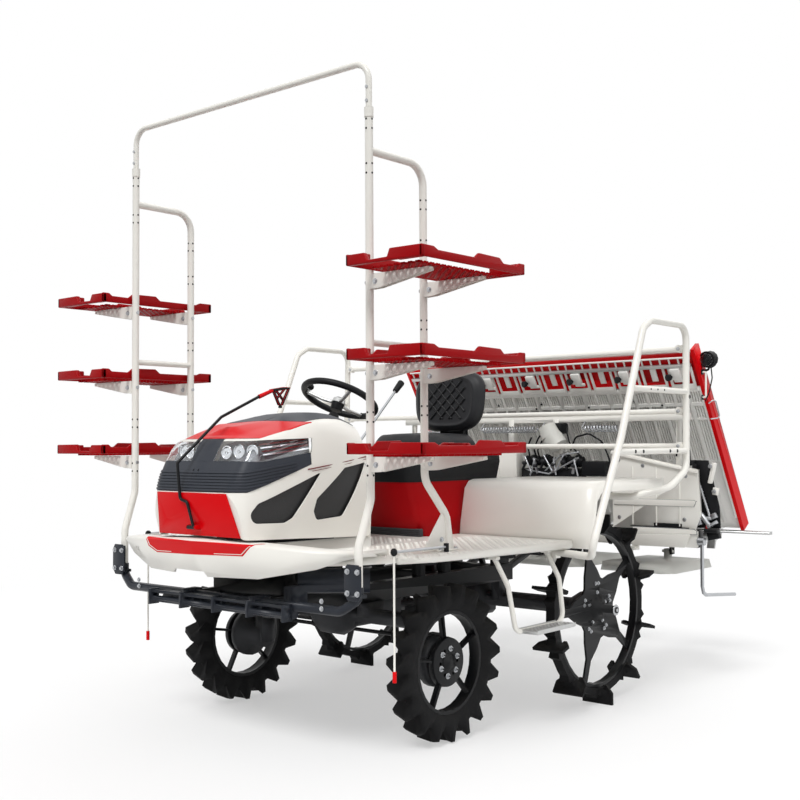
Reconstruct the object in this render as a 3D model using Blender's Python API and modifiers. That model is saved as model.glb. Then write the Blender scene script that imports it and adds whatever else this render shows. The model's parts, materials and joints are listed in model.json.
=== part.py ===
# Ride-on rice transplanter, six rows, with seedling racks and a raised planting unit.
# Metres. +X is the driver's left, the machine faces -Y, +Z is up, and the floor is at z = 0.
# Every y below is measured from the front axle; MIDDLE_Y sets that axle on the world's y axis.

import math

import bmesh
import bpy
from mathutils import Matrix, Vector

# Driving dimensions
FRONT_WHEEL_R = 0.325
REAR_WHEEL_R = 0.446
WHEELBASE = 0.993
FRONT_HALF_TRACK = 0.625
REAR_HALF_TRACK = 0.755
MIDDLE_Y = -0.7865
SEAT_GAP = 0.0003
RUNNING_GAP = 0.0005

# Wheels
FRONT_RIM_R = 0.205
REAR_RIM_R = REAR_WHEEL_R - 0.088
RIM_WALL = 0.008
FRONT_RIM_HALF = 0.026
REAR_RIM_HALF = 0.019
FRONT_LUGS = 19
REAR_PADDLES = 10
FRONT_TREAD_HALF = 0.050
PADDLE_WIDTH = 0.160
PADDLE_HEIGHT = 0.100
PADDLE_THICK = 0.014
SPOKE_WIDTH = 0.026
SPOKE_THICK = 0.012
SPOKES = 5
FRONT_HUB_R = 0.108
BOLT_CIRCLE_R = 0.056
STAR_VALLEY_R = 0.142
STAR_PLATE = 0.010
STAR_TURN = math.radians(35)

# Steering
KINGPIN_X = 0.470
KINGPIN_R = 0.026
KNUCKLE_TOP_Z = 0.470
STEER_ARM = 0.120
TIE_ROD_Z = 0.395
COLUMN_FOOT = (0.0, -0.086, 1.214)
COLUMN_TOP = (0.0, -0.007, 1.369)
STEERING_WHEEL_R = 0.185
STEERING_RIM_R = 0.015

# Frame, axles and engine
RAIL_X = 0.210
RAIL_WIDE = 0.050
RAIL_HIGH = 0.080
RAIL_Z = 0.580
RAIL_FRONT_Y = -0.620
RAIL_REAR_Y = 1.050
JACK_PAD = (0.046, 0.070, 0.012)
JACK_PAD_Y = 0.420
AXLE_TUBE_R = 0.034
ENGINE_SIZE = (0.340, 0.400, 0.360)
ENGINE_CENTRE = (0.0, -0.370, 0.905)

# Walkway, apron and fenders
DECK_TOP_Z = 0.800
DECK_THICK = 0.030
FENDER_SHEET = 0.006
CURB_WIDE = 0.012
CURB_TOP_Z = 0.8417
FENDER_TOP_Z = 1.055
FENDER_OUT_X = 0.975
FENDER_IN_X = 0.255
FENDER_FOOT_Y = 0.585
FENDER_REAR_Y = 1.255

# Bonnet
BONNET_WALL = 0.006
NOSE_PANEL = 0.014

# Racks
RACK_X = 0.723
RACK_FRONT_Y = -0.568
RACK_REAR_Y = -0.248
RACK_FOOT_X = 0.716
RACK_FOOT_Y = -0.628
CARRIER_Y = -0.700
CARRIER_Z = 0.606
RACK_TUBE_R = 0.016
HOOP_TUBE_R = 0.0125
HOOP_Z = 2.681
RACK_LINK_Z = HOOP_Z - 0.342
SHELF_TOP_Z = (1.914, 1.571, 1.228)
SHELF_IN_X = 0.748
SHELF_WIDE = 0.360
SHELF_LONG = 0.628
SHELF_MIDDLE_Y = -0.413
SHELF_DEEP = 0.046
SHELF_RIM = 0.034

# Guard rails
GUARD_X = 1.103
GUARD_TUBE_R = 0.0165
GUARD_TOP_Z = 1.785
GUARD_FRONT_Y = 0.887
GUARD_REAR_Y = 1.263
GUARD_FOOT_Z = 0.7475
GUARD_BAR_Z = (1.676, 1.378, 1.212)
SEAT_BASE_REAR_Y = 0.928

# Seat and markers
SEAT_HINGE = (0.400, 1.188)
HINGE_PIN_R = 0.008
HINGE_HOLE_R = 0.0086
ROW_MARKER = (0.768, -0.170)
CENTRE_PIN_HALF = 0.020
CENTRE_PIN_R = 0.011
CENTRE_MARKER_LINE = (
    (-0.830, 0.903), (-0.872, 1.012), (-0.872, 1.162), (-0.672, 1.343), (-0.451, 1.440),
)

# Lift linkage
LIFT_LINK = 0.450
LIFT_ANGLE = math.radians(20)
LIFT_FRONT_Y = 1.100
LOWER_PIN_Z = 0.560
UPPER_PIN_Z = 0.800
PIN_R = 0.012
HORN_Y = -0.048
HORN_Z = 0.110
ROD_X = 0.0065

# Planting unit
BEAM_Y = 1.600
BEAM_Z = 0.745
BAR_Y = 1.620
BAR_Z = 1.360
TRAY_HALF = 0.965
WORK_LAMP_X = TRAY_HALF + 0.033
TRAY_TOP_Y = 1.640
TRAY_TOP_Z = 1.700
TRAY_LOW_Y = 2.210
TRAY_LOW_Z = 0.760
TRAY_RIB = 0.016
RAIL_OUT_X = 1.115
ROTOR_Y = 2.372
ROTOR_Z = 0.735
CASE_X = (-0.600, 0.0, 0.600)
FLOAT_LOW_Z = 0.545
FLOAT_PIN_Y = 2.020
FLOAT_PIN_Z = 0.630
FLOAT_HOOK_X = 0.055
FLOAT_HOOK_Y = 1.512
FLOAT_HOOK_Z = 0.6865
STAND_X = 1.020
STAND_Y = 1.570
STAND_PIN_Z = 0.735

MACHINE = "rice_transplanter"
PAINT = {
    "white_paint": ((0.80, 0.79, 0.74), 0.35, 0.0),
    "red_plastic": ((0.62, 0.012, 0.016), 0.32, 0.0),
    "red_paint": ((0.70, 0.010, 0.016), 0.30, 0.0),
    "black_paint": ((0.030, 0.032, 0.036), 0.45, 0.2),
    "grey_plastic": ((0.075, 0.082, 0.092), 0.50, 0.0),
    "rubber": ((0.014, 0.014, 0.015), 0.75, 0.0),
    "cast_iron": ((0.060, 0.062, 0.066), 0.55, 0.6),
    "steel": ((0.55, 0.56, 0.57), 0.30, 1.0),
    "aluminium": ((0.66, 0.66, 0.65), 0.38, 1.0),
    "seat_vinyl": ((0.018, 0.018, 0.020), 0.42, 0.0),
    "lamp_lens": ((0.72, 0.74, 0.76), 0.08, 0.0),
    "float_plastic": ((0.42, 0.42, 0.40), 0.55, 0.0),
    "deck_paint": ((0.66, 0.67, 0.66), 0.50, 0.0),
}


def clear_scene():
    for old in list(bpy.data.objects):
        bpy.data.objects.remove(old, do_unlink=True)


def new_collection(name):
    group = bpy.data.collections.new(name)
    bpy.context.scene.collection.children.link(group)
    return group


def make_materials():
    made = {}
    for name, (colour, roughness, metallic) in PAINT.items():
        paint = bpy.data.materials.new(name)
        paint.use_nodes = True
        shader = paint.node_tree.nodes["Principled BSDF"]
        shader.inputs["Base Color"].default_value = (*colour, 1.0)
        shader.inputs["Roughness"].default_value = roughness
        shader.inputs["Metallic"].default_value = metallic
        paint.diffuse_color = (*colour, 1.0)
        made[name] = paint
    return made


clear_scene()
SOLIDS = new_collection(MACHINE)
WORKSHOP = new_collection("construction")
MATERIALS = make_materials()
BODIES = {}


def new_body(name, pivot=(0.0, 0.0, 0.0)):
    """An empty on the body's joint axis; the machine's own empty carries the shift along y."""
    carrier = bpy.data.objects.new("body_" + name, None)
    carrier.location = Vector(pivot) + Vector((0.0, MIDDLE_Y, 0.0))
    SOLIDS.objects.link(carrier)
    BODIES[name] = (carrier, Vector(pivot))


def finish(obj, name, body, paint, smooth=35.0):
    """Names a solid, gives it its paint and hangs it on its body's empty."""
    obj.name = name
    obj.data.name = name
    obj.data.materials.clear()
    obj.data.materials.append(MATERIALS[paint])
    for group in list(obj.users_collection):
        group.objects.unlink(obj)
    SOLIDS.objects.link(obj)
    carrier, pivot = BODIES[body]
    obj.parent = carrier
    obj.matrix_parent_inverse = Matrix.Translation(-pivot)
    if obj.type == "MESH":
        obj.data.shade_smooth()
        obj.data.set_sharp_from_angle(angle=math.radians(smooth))
    return obj


def object_from(shape, name="piece"):
    """A bmesh made into an object, its faces pointing out."""
    bmesh.ops.recalc_face_normals(shape, faces=shape.faces)
    mesh = bpy.data.meshes.new(name)
    shape.to_mesh(mesh)
    shape.free()
    obj = bpy.data.objects.new(name, mesh)
    WORKSHOP.objects.link(obj)
    return obj


def as_mesh(obj, weld=0.00001):
    """The evaluated shape as a plain mesh object, its loose caps welded."""
    bpy.context.view_layer.update()
    graph = bpy.context.evaluated_depsgraph_get()
    mesh = bpy.data.meshes.new_from_object(obj.evaluated_get(graph))
    shape = bmesh.new()
    shape.from_mesh(mesh)
    shape.transform(obj.matrix_world)
    bmesh.ops.remove_doubles(shape, verts=shape.verts, dist=weld)
    bpy.data.objects.remove(obj, do_unlink=True)
    bpy.data.meshes.remove(mesh)
    return object_from(shape)


def boolean(target, others, operation, solver="EXACT"):
    for other in others:
        step = target.modifiers.new(operation.lower(), "BOOLEAN")
        step.operation = operation
        step.object = other
        step.solver = solver
    result = as_mesh(target)
    for other in others:
        bpy.data.objects.remove(other, do_unlink=True)
    return result


def fuse(parts):
    return boolean(parts[0], parts[1:], "UNION")


def cut(target, cutters, solver="EXACT"):
    return boolean(target, cutters, "DIFFERENCE", solver)


def block(size, centre, bevel=0.0):
    shape = bmesh.new()
    bmesh.ops.create_cube(shape, size=1.0)
    bmesh.ops.scale(shape, vec=size, verts=shape.verts)
    if bevel > 0.0:
        bmesh.ops.bevel(
            shape, geom=shape.edges, offset=bevel, segments=1, profile=0.5, affect="EDGES", material=-1
        )
    bmesh.ops.translate(shape, vec=centre, verts=shape.verts)
    return object_from(shape)


def rod(start, end, radius, sides=12, end_radius=None):
    """A round bar, or a cone, between two points."""
    start, end = Vector(start), Vector(end)
    along = end - start
    shape = bmesh.new()
    bmesh.ops.create_cone(
        shape, cap_ends=True, segments=sides, radius1=radius,
        radius2=radius if end_radius is None else end_radius, depth=along.length,
    )
    turn = along.to_track_quat("Z", "Y").to_matrix().to_4x4()
    bmesh.ops.transform(shape, matrix=Matrix.Translation((start + end) / 2) @ turn, verts=shape.verts)
    return object_from(shape)


def bar(start, end, width, height):
    """A square bar between two points; width lies level, height stands across it."""
    start, end = Vector(start), Vector(end)
    along = end - start
    shape = bmesh.new()
    bmesh.ops.create_cube(shape, size=1.0)
    bmesh.ops.scale(shape, vec=(width, along.length, height), verts=shape.verts)
    turn = along.to_track_quat("Y", "Z").to_matrix().to_4x4()
    bmesh.ops.transform(shape, matrix=Matrix.Translation((start + end) / 2) @ turn, verts=shape.verts)
    return object_from(shape)


def rounded(corners, bend, steps=4):
    """The path through the corners, each inner corner turned into an arc of this radius."""
    corners = [Vector(c) for c in corners]
    path = [corners[0]]
    for before, corner, after in zip(corners, corners[1:], corners[2:]):
        a, b = (before - corner), (after - corner)
        half = a.angle(b) / 2
        reach = min(bend / math.tan(half), a.length * 0.49, b.length * 0.49)
        radius = reach * math.tan(half)
        a.normalize()
        b.normalize()
        centre = corner + (a + b).normalized() * math.hypot(radius, reach)
        first = corner + a * reach - centre
        last = corner + b * reach - centre
        sweep = first.angle(last)
        for i in range(steps + 1):
            part = i / steps
            turned = (first * math.sin((1 - part) * sweep) + last * math.sin(part * sweep)) / math.sin(sweep)
            path.append(centre + turned)
    path.append(corners[-1])
    return path


def tube(corners, radius, bend=0.0, steps=2, rings=2, closed=False):
    """A round tube along a path of straight runs and arcs."""
    path = rounded(corners, bend, steps) if bend > 0.0 else [Vector(c) for c in corners]
    curve = bpy.data.curves.new("tube", "CURVE")
    curve.dimensions = "3D"
    spline = curve.splines.new("POLY")
    spline.points.add(len(path) - 1)
    for point, place in zip(spline.points, path):
        point.co = (*place, 1.0)
    spline.use_cyclic_u = closed
    curve.bevel_depth = radius
    curve.bevel_resolution = rings
    curve.use_fill_caps = not closed
    obj = bpy.data.objects.new("tube", curve)
    WORKSHOP.objects.link(obj)
    return as_mesh(obj)


PLANES = {
    "YZ": Matrix(((0, 0, 1), (1, 0, 0), (0, 1, 0))),
    "XZ": Matrix(((1, 0, 0), (0, 0, -1), (0, 1, 0))),
    "XY": Matrix(((1, 0, 0), (0, 1, 0), (0, 0, 1))),
}


def plate(outline, thick, plane, at=0.0, holes=()):
    """A flat outline of this thickness; at is where its middle lies on the plane's normal axis."""
    curve = bpy.data.curves.new("plate", "CURVE")
    curve.dimensions = "2D"
    curve.fill_mode = "BOTH"
    curve.extrude = thick / 2
    for loop in (outline, *holes):
        spline = curve.splines.new("POLY")
        spline.points.add(len(loop) - 1)
        for point, (u, v) in zip(spline.points, loop):
            point.co = (u, v, 0.0, 1.0)
        spline.use_cyclic_u = True
    obj = bpy.data.objects.new("plate", curve)
    WORKSHOP.objects.link(obj)
    obj.matrix_world = PLANES[plane].to_4x4()
    normal = {"YZ": (at, 0, 0), "XZ": (0, at, 0), "XY": (0, 0, at)}[plane]
    obj.location = normal
    return as_mesh(obj)


def arc(centre, radius, start, end, steps):
    """Points of an arc in a plane, angles in degrees."""
    turns = [math.radians(start + (end - start) * i / steps) for i in range(steps + 1)]
    return [(centre[0] + radius * math.cos(t), centre[1] + radius * math.sin(t)) for t in turns]


def round_outline(low_u, low_v, high_u, high_v, radius, steps=3):
    """A rectangle with round corners."""
    corners = (
        (high_u - radius, low_v + radius, -90),
        (high_u - radius, high_v - radius, 0),
        (low_u + radius, high_v - radius, 90),
        (low_u + radius, low_v + radius, 180),
    )
    outline = []
    for u, v, start in corners:
        outline += arc((u, v), radius, start, start + 90, steps)
    return outline


def turned(profile, axis_point, axis, steps=24):
    """A profile of (radius, height) turned about an axis; its ends lie on the axis or it is a loop."""
    shape = bmesh.new()
    verts = [shape.verts.new((r, 0.0, h)) for r, h in profile]
    for a, b in zip(verts, verts[1:]):
        shape.edges.new((a, b))
    if profile[0][0] > 0.0 or profile[-1][0] > 0.0:
        shape.edges.new((verts[-1], verts[0]))
    mesh = bpy.data.meshes.new("turned")
    shape.to_mesh(mesh)
    shape.free()
    obj = bpy.data.objects.new("turned", mesh)
    WORKSHOP.objects.link(obj)
    screw = obj.modifiers.new("turn", "SCREW")
    screw.steps = steps
    screw.render_steps = steps
    screw.use_merge_vertices = True
    screw.merge_threshold = 0.00001
    obj.matrix_world = Matrix.Translation(axis_point) @ Vector(axis).to_track_quat("Z", "Y").to_matrix().to_4x4()
    return as_mesh(obj)


def loft(sections, closed_ends=True):
    """A skin over rings of equally many points."""
    shape = bmesh.new()
    rings = [[shape.verts.new(p) for p in ring] for ring in sections]
    for ring, after in zip(rings, rings[1:]):
        for i in range(len(ring)):
            j = (i + 1) % len(ring)
            shape.faces.new((ring[i], ring[j], after[j], after[i]))
    if closed_ends:
        shape.faces.new(rings[0])
        shape.faces.new(rings[-1])
    return object_from(shape)


def mirrored(obj):
    """A copy on the machine's other side."""
    shape = bmesh.new()
    shape.from_mesh(obj.data)
    shape.transform(Matrix.Diagonal((-1.0, 1.0, 1.0, 1.0)))
    return object_from(shape)


def moved(obj, x=0.0, y=0.0, z=0.0):
    shape = bmesh.new()
    shape.from_mesh(obj.data)
    bmesh.ops.translate(shape, vec=(x, y, z), verts=shape.verts)
    return object_from(shape)


# Wheels
def lugged_ring(stations, columns):
    """A closed ring round the X axis at the origin: one section of (x, radius) per station of angles."""
    shape = bmesh.new()
    rings = []
    for turn, section, lean in stations:
        ring = []
        for (x, radius), share in zip(section, columns):
            angle = turn + lean * share
            ring.append(shape.verts.new((x, radius * math.cos(angle), radius * math.sin(angle))))
        rings.append(ring)
    for k, ring in enumerate(rings):
        after = rings[(k + 1) % len(rings)]
        for i in range(len(ring)):
            j = (i + 1) % len(ring)
            shape.faces.new((ring[i], ring[j], after[j], after[i]))
    return object_from(shape)


def front_tyre():
    """A narrow tyre whose bars point forward in a shallow V; each bar stands on a 4-station pitch."""
    bore = FRONT_RIM_R + RIM_WALL + SEAT_GAP
    half = FRONT_RIM_HALF
    carcass_r = FRONT_WHEEL_R - 0.042
    # columns: across the tyre, from one bead over the crown to the other
    valley = [(-half, bore), (-0.038, bore + 0.030), (-0.033, carcass_r - 0.006), (0.0, carcass_r)]
    lug = [(-half, bore), (-0.044, bore + 0.038), (-FRONT_TREAD_HALF, FRONT_WHEEL_R - 0.006), (0.0, FRONT_WHEEL_R)]
    valley += [(-x, r) for x, r in reversed(valley[:3])]
    lug += [(-x, r) for x, r in reversed(lug[:3])]
    lean_share = [0.0, 0.7, 1.0, 0.0, 1.0, 0.7, 0.0]
    pitch = 2 * math.pi / FRONT_LUGS
    stations = []
    for k in range(FRONT_LUGS):
        for part, section in ((0.0, valley), (0.30, lug), (0.52, lug), (0.82, valley)):
            stations.append(((k + part) * pitch, section, -0.30 * pitch))
    return lugged_ring(stations, lean_share)


def rear_tyre():
    """A thin rubber-clad rim with small teeth, crossed by ten paddles."""
    bore = REAR_RIM_R + RIM_WALL + 0.0015
    crown = bore + 0.036
    tooth = crown + 0.012
    half = REAR_RIM_HALF
    low = [(-half, bore), (-half - 0.004, crown - 0.004), (half + 0.004, crown - 0.004), (half, bore)]
    high = [(-half, bore), (-half - 0.010, tooth), (half + 0.010, tooth), (half, bore)]
    pitch = 2 * math.pi / REAR_PADDLES
    stations = []
    for k in range(REAR_PADDLES):
        for part, section in (
            (0.06, low), (0.20, low), (0.28, high), (0.37, low), (0.50, high), (0.63, low), (0.72, high), (0.81, low),
        ):
            stations.append(((k + part) * pitch, section, 0.0))
    ring = lugged_ring(stations, [0.0] * 4)
    paddles = []
    inner = REAR_WHEEL_R - PADDLE_HEIGHT
    chamfer = 0.030
    wide = PADDLE_WIDTH / 2
    # columns: across the machine, out from the axle
    outline = [
        (-wide + chamfer, inner + 0.010), (-0.034, inner + 0.010), (-0.034, bore + 0.006), (0.034, bore + 0.006),
        (0.034, inner + 0.010), (wide - chamfer, inner + 0.010), (wide, inner + 0.045), (wide, REAR_WHEEL_R),
        (-wide, REAR_WHEEL_R), (-wide, inner + 0.045),
    ]
    for k in range(REAR_PADDLES):
        paddle = plate(outline, PADDLE_THICK, "XZ")
        turn = Matrix.Rotation((k + 0.01) * pitch, 4, "X")
        shape = bmesh.new()
        shape.from_mesh(paddle.data)
        shape.transform(turn)
        bpy.data.objects.remove(paddle, do_unlink=True)
        paddles.append(object_from(shape))
    return fuse([ring, *paddles])


def rim_ring(radius, half, steps):
    """A wheel's rolled band, round the X axis."""
    lip = 0.006
    profile = [
        (radius + RIM_WALL, half), (radius + RIM_WALL, -half), (radius - lip, -half), (radius, 0.0), (radius - lip, half),
    ]
    return turned(profile, (0, 0, 0), (1, 0, 0), steps)


def bolt_heads(count, circle_r, radius, low_x, high_x, first=0.0):
    heads = []
    for k in range(count):
        t = first + 2 * math.pi * k / count
        y, z = circle_r * math.cos(t), circle_r * math.sin(t)
        heads.append(rod((low_x, y, z), (high_x, y, z), radius, 6))
    return heads


def front_wheel():
    """Five flat spokes between a bolted hub and the rim; the outside faces +X."""
    parts = [rim_ring(FRONT_RIM_R, FRONT_RIM_HALF, 30)]
    for k in range(SPOKES):
        t = math.radians(26) + 2 * math.pi * k / SPOKES
        out = Vector((0.0, math.cos(t), math.sin(t)))
        parts.append(bar(out * 0.060, out * (FRONT_RIM_R + 0.002), SPOKE_WIDTH, SPOKE_THICK))
    hub = [
        (0.0, 0.030), (0.036, 0.030), (0.040, 0.012), (FRONT_HUB_R - 0.030, 0.010), (FRONT_HUB_R - 0.030, -0.014),
        (0.0, -0.014),
    ]
    parts.append(turned(hub, (0, 0, 0), (1, 0, 0), 16))
    parts += bolt_heads(6, BOLT_CIRCLE_R, 0.008, 0.0, 0.019)
    return fuse(parts)


def rear_wheel():
    """A star of five arms cut from plate, its hub and the rim; the outside faces +X."""
    arm = 2 * math.pi / SPOKES
    tip_r = REAR_RIM_R + 0.002
    neck_r = 0.245
    outline = []
    for k in range(SPOKES):
        t = STAR_TURN + k * arm
        for radius, half_width in ((neck_r, 0.019), (tip_r, 0.017), (tip_r, -0.017), (neck_r, -0.019)):
            y = radius * math.cos(t) + half_width * math.sin(t)
            z = radius * math.sin(t) - half_width * math.cos(t)
            outline.append((y, z))
        for share in (0.24, 0.42, 0.58, 0.76):
            away = abs(share - 0.5) / 0.28
            radius = STAR_VALLEY_R + (0.052 * away * away)
            turn = t + arm * share
            outline.append((radius * math.cos(turn), radius * math.sin(turn)))
    parts = [rim_ring(REAR_RIM_R, REAR_RIM_HALF, 36), plate(outline, STAR_PLATE, "YZ")]
    hub = [(0.0, 0.040), (0.030, 0.040), (0.034, 0.020), (0.062, 0.016), (0.062, -0.018), (0.0, -0.018)]
    parts.append(turned(hub, (0, 0, 0), (1, 0, 0), 12))
    parts.append(rod((0.02, 0, 0), (0.105, 0, 0), 0.019, 12))
    parts += bolt_heads(5, 0.092, 0.008, 0.0, 0.014, math.radians(12))
    return fuse(parts)


def add_wheels():
    # columns: name, side, x, y, radius, carrier of the wheel shape, of the tyre shape
    rows = (
        ("front_left", 1, FRONT_HALF_TRACK, 0.0, FRONT_WHEEL_R),
        ("front_right", -1, FRONT_HALF_TRACK, 0.0, FRONT_WHEEL_R),
        ("rear_left", 1, REAR_HALF_TRACK, WHEELBASE, REAR_WHEEL_R),
        ("rear_right", -1, REAR_HALF_TRACK, WHEELBASE, REAR_WHEEL_R),
    )
    for name, side, x, y, radius in rows:
        new_body("wheel_" + name, (side * x, y, radius))
        is_front = name.startswith("front")
        pair = (
            ("tyre_" + name, front_tyre() if is_front else rear_tyre(), "rubber"),
            ("wheel_" + name, front_wheel() if is_front else rear_wheel(), "black_paint"),
        )
        for node, obj, paint in pair:
            if side < 0:
                flipped = mirrored(obj)
                bpy.data.objects.remove(obj, do_unlink=True)
                obj = flipped
            placed = moved(obj, side * x, y, radius)
            bpy.data.objects.remove(obj, do_unlink=True)
            finish(placed, node, "wheel_" + name, paint)


# Frame and axles
def add_frame():
    """Two rails, the cross members that carry the walkway, the engine bed and the ears of the lift links."""
    low = RAIL_Z - RAIL_HIGH / 2
    deck_low = DECK_TOP_Z - DECK_THICK - SEAT_GAP
    parts = []
    for side in (1, -1):
        x = side * RAIL_X
        parts.append(bar((x, RAIL_FRONT_Y, RAIL_Z), (x, RAIL_REAR_Y, RAIL_Z), RAIL_WIDE, RAIL_HIGH))
        for y in (-0.100, 0.330, 0.520):
            parts.append(block((0.044, 0.044, deck_low - RAIL_Z), (x, y, (deck_low + RAIL_Z) / 2)))
        wide, long, deep = JACK_PAD
        parts.append(block((wide, long, deep + 0.004), (x, JACK_PAD_Y, low - deep / 2 + 0.002)))
    parts.append(block((2 * RAIL_X, 0.050, 0.046), (0.0, -0.560, RAIL_Z)))
    parts.append(block((2 * RAIL_X, 0.060, 0.060), (0.0, RAIL_REAR_Y - 0.030, RAIL_Z)))
    # columns: y of a walkway bearer, its half length
    for y, half in ((-0.100, 0.640), (0.330, 0.740), (0.520, 0.760)):
        parts.append(block((2 * half, 0.044, 0.036), (0.0, y, deck_low - 0.018)))
    engine_low = ENGINE_CENTRE[2] - ENGINE_SIZE[2] / 2 - SEAT_GAP
    bed_low = RAIL_Z + 0.020
    for y in (-0.500, -0.220):
        parts.append(block((2 * RAIL_X + 0.03, 0.050, engine_low - bed_low), (0, y, (engine_low + bed_low) / 2)))
    for side in (1, -1):
        ear = [
            (RAIL_REAR_Y - 0.070, low), (LIFT_FRONT_Y + 0.030, low), (LIFT_FRONT_Y + 0.030, UPPER_PIN_Z + 0.028),
            (LIFT_FRONT_Y - 0.030, UPPER_PIN_Z + 0.028), (RAIL_REAR_Y - 0.070, RAIL_Z + 0.100),
        ]
        holes = [pin_hole(LIFT_FRONT_Y, LOWER_PIN_Z), pin_hole(LIFT_FRONT_Y, UPPER_PIN_Z)]
        parts.append(plate(ear, 0.010, "YZ", side * 0.150, holes))
    parts.append(block((0.300, 0.024, 0.040), (0.0, LIFT_FRONT_Y - 0.040, UPPER_PIN_Z - 0.055)))
    # the lift cylinder's barrel stands on a cross member, its bore open to the back
    cylinder_z = LOWER_PIN_Z + HORN_Z
    barrel = turned([(0.0, 0.0), (0.030, 0.0), (0.030, 0.380), (0.0, 0.380)], (ROD_X, 0.640, cylinder_z), (0, 1, 0), 14)
    bore = turned([(0.0, 0.030), (0.0095, 0.030), (0.0095, 0.420), (0.0, 0.420)], (ROD_X, 0.640, cylinder_z), (0, 1, 0), 12)
    saddle = block((0.060, 0.044, cylinder_z - RAIL_Z), (ROD_X, 0.660, (cylinder_z + RAIL_Z) / 2))
    seat = block((2 * RAIL_X, 0.050, 0.040), (0.0, 0.660, RAIL_Z))
    finish(cut(fuse([*parts, barrel, saddle, seat]), [bore]), "main_frame", "chassis", "black_paint")
    finish(block(ENGINE_SIZE, ENGINE_CENTRE, 0.02), "engine", "chassis", "cast_iron")


def pin_hole(y, z):
    return arc((y, z), PIN_R + RUNNING_GAP, 360, 30, 11)


def add_drive_line():
    """Front axle with its kingpin housings, the gearbox, the shaft and the rear axle: one casting line."""
    z = FRONT_WHEEL_R + 0.150
    rail_low = RAIL_Z - RAIL_HIGH / 2 - SEAT_GAP
    middle = [(0, 0.12), (0.06, 0.11), (0.10, 0.05), (0.10, -0.05), (0.06, -0.11), (0, -0.12)]
    parts = [rod((-KINGPIN_X, 0, z), (KINGPIN_X, 0, z), AXLE_TUBE_R, 12)]
    parts.append(turned(middle, (0, 0.0, z), (1, 0, 0), 12))
    for side in (1, -1):
        x = side * KINGPIN_X
        parts.append(rod((x, 0, KNUCKLE_TOP_Z - 0.030), (x, 0, z + 0.070), 0.050, 12))
        parts.append(block((0.060, 0.110, rail_low - z), (side * RAIL_X, 0.0, (rail_low + z) / 2)))
    parts.append(block((0.240, 0.340, 0.160), (0.0, 0.160, z + 0.020), 0.02))
    parts.append(rod((0.0, 0.300, z - 0.02), (0.0, WHEELBASE, z - 0.02), 0.024, 10))
    z = REAR_WHEEL_R
    hub_end = REAR_HALF_TRACK - 0.018 - RUNNING_GAP
    parts.append(rod((-hub_end, WHEELBASE, z), (hub_end, WHEELBASE, z), 0.040, 12))
    parts.append(block((0.260, 0.190, 0.170), (0.0, WHEELBASE - 0.020, z), 0.02))
    flange = [(0, 0), (0.055, 0.0), (0.075, 0.02), (0.075, 0.06), (0.045, 0.11), (0, 0.11)]
    for side in (1, -1):
        parts.append(turned(flange, (side * hub_end, WHEELBASE, z), (-side, 0, 0), 14))
        parts.append(block((0.050, 0.080, rail_low - z), (side * RAIL_X, WHEELBASE - 0.020, (rail_low + z) / 2)))
    finish(fuse(parts), "drive_line", "chassis", "cast_iron")


def add_knuckles():
    """Drop gearcases that turn on the kingpins and carry the front wheels, and the rod between their arms."""
    drum = [
        (0, 0), (0.085, 0.004), (FRONT_HUB_R, 0.020), (FRONT_HUB_R, 0.052), (0.060, 0.075), (0.060, 0.150), (0, 0.150),
    ]
    arm_z = TIE_ROD_Z + 0.0125
    for side, name in ((1, "left"), (-1, "right")):
        x = side * KINGPIN_X
        new_body("knuckle_" + name, (x, 0.0, FRONT_WHEEL_R))
        hub_end = side * (FRONT_HALF_TRACK - 0.014 - RUNNING_GAP)
        top = KNUCKLE_TOP_Z - 0.030 - RUNNING_GAP
        parts = [rod((x, 0, FRONT_WHEEL_R - 0.030), (x, 0, top), 0.046, 12)]
        parts.append(turned(drum, (hub_end, 0.0, FRONT_WHEEL_R), (-side, 0, 0), 20))
        far = STEER_ARM + 0.012
        arm = [(x - 0.03, -0.02), (x + 0.03, -0.02), (x + 0.02, far), (x - 0.02, far)]
        parts.append(plate(arm, 0.014, "XY", arm_z))
        finish(fuse(parts), "knuckle_" + name, "knuckle_" + name, "cast_iron")
    new_body("tie_rod", (0.0, STEER_ARM, TIE_ROD_Z))
    eye_top = arm_z - 0.007 - RUNNING_GAP
    rod_z = TIE_ROD_Z - 0.012
    parts = [rod((-KINGPIN_X, STEER_ARM, rod_z), (KINGPIN_X, STEER_ARM, rod_z), 0.009, 8)]
    for side in (1, -1):
        x = side * KINGPIN_X
        parts.append(rod((x, STEER_ARM, rod_z - 0.012), (x, STEER_ARM, eye_top), 0.015, 10))
    finish(fuse(parts), "tie_rod", "tie_rod", "steel")


# Walkway, apron and fenders
# columns: x, y of the upper edge, y of the lower edge, lower z, upper z
APRON_TABLE = (
    (0.000, -0.835, -0.800, 0.706, 0.858),
    (0.330, -0.812, -0.775, 0.716, 0.849),
    (0.560, -0.735, -0.690, 0.760, 0.834),
    (0.640, -0.664, -0.624, 0.794, 0.828),
    (0.672, -0.625, -0.585, 0.802, 0.826),
    (0.698, -0.520, -0.500, 0.804, 0.824),
)
APRON_NOTCH = ((-0.178, 0.690), (0.070, 0.690), (0.044, 0.728), (-0.152, 0.728))


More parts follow.
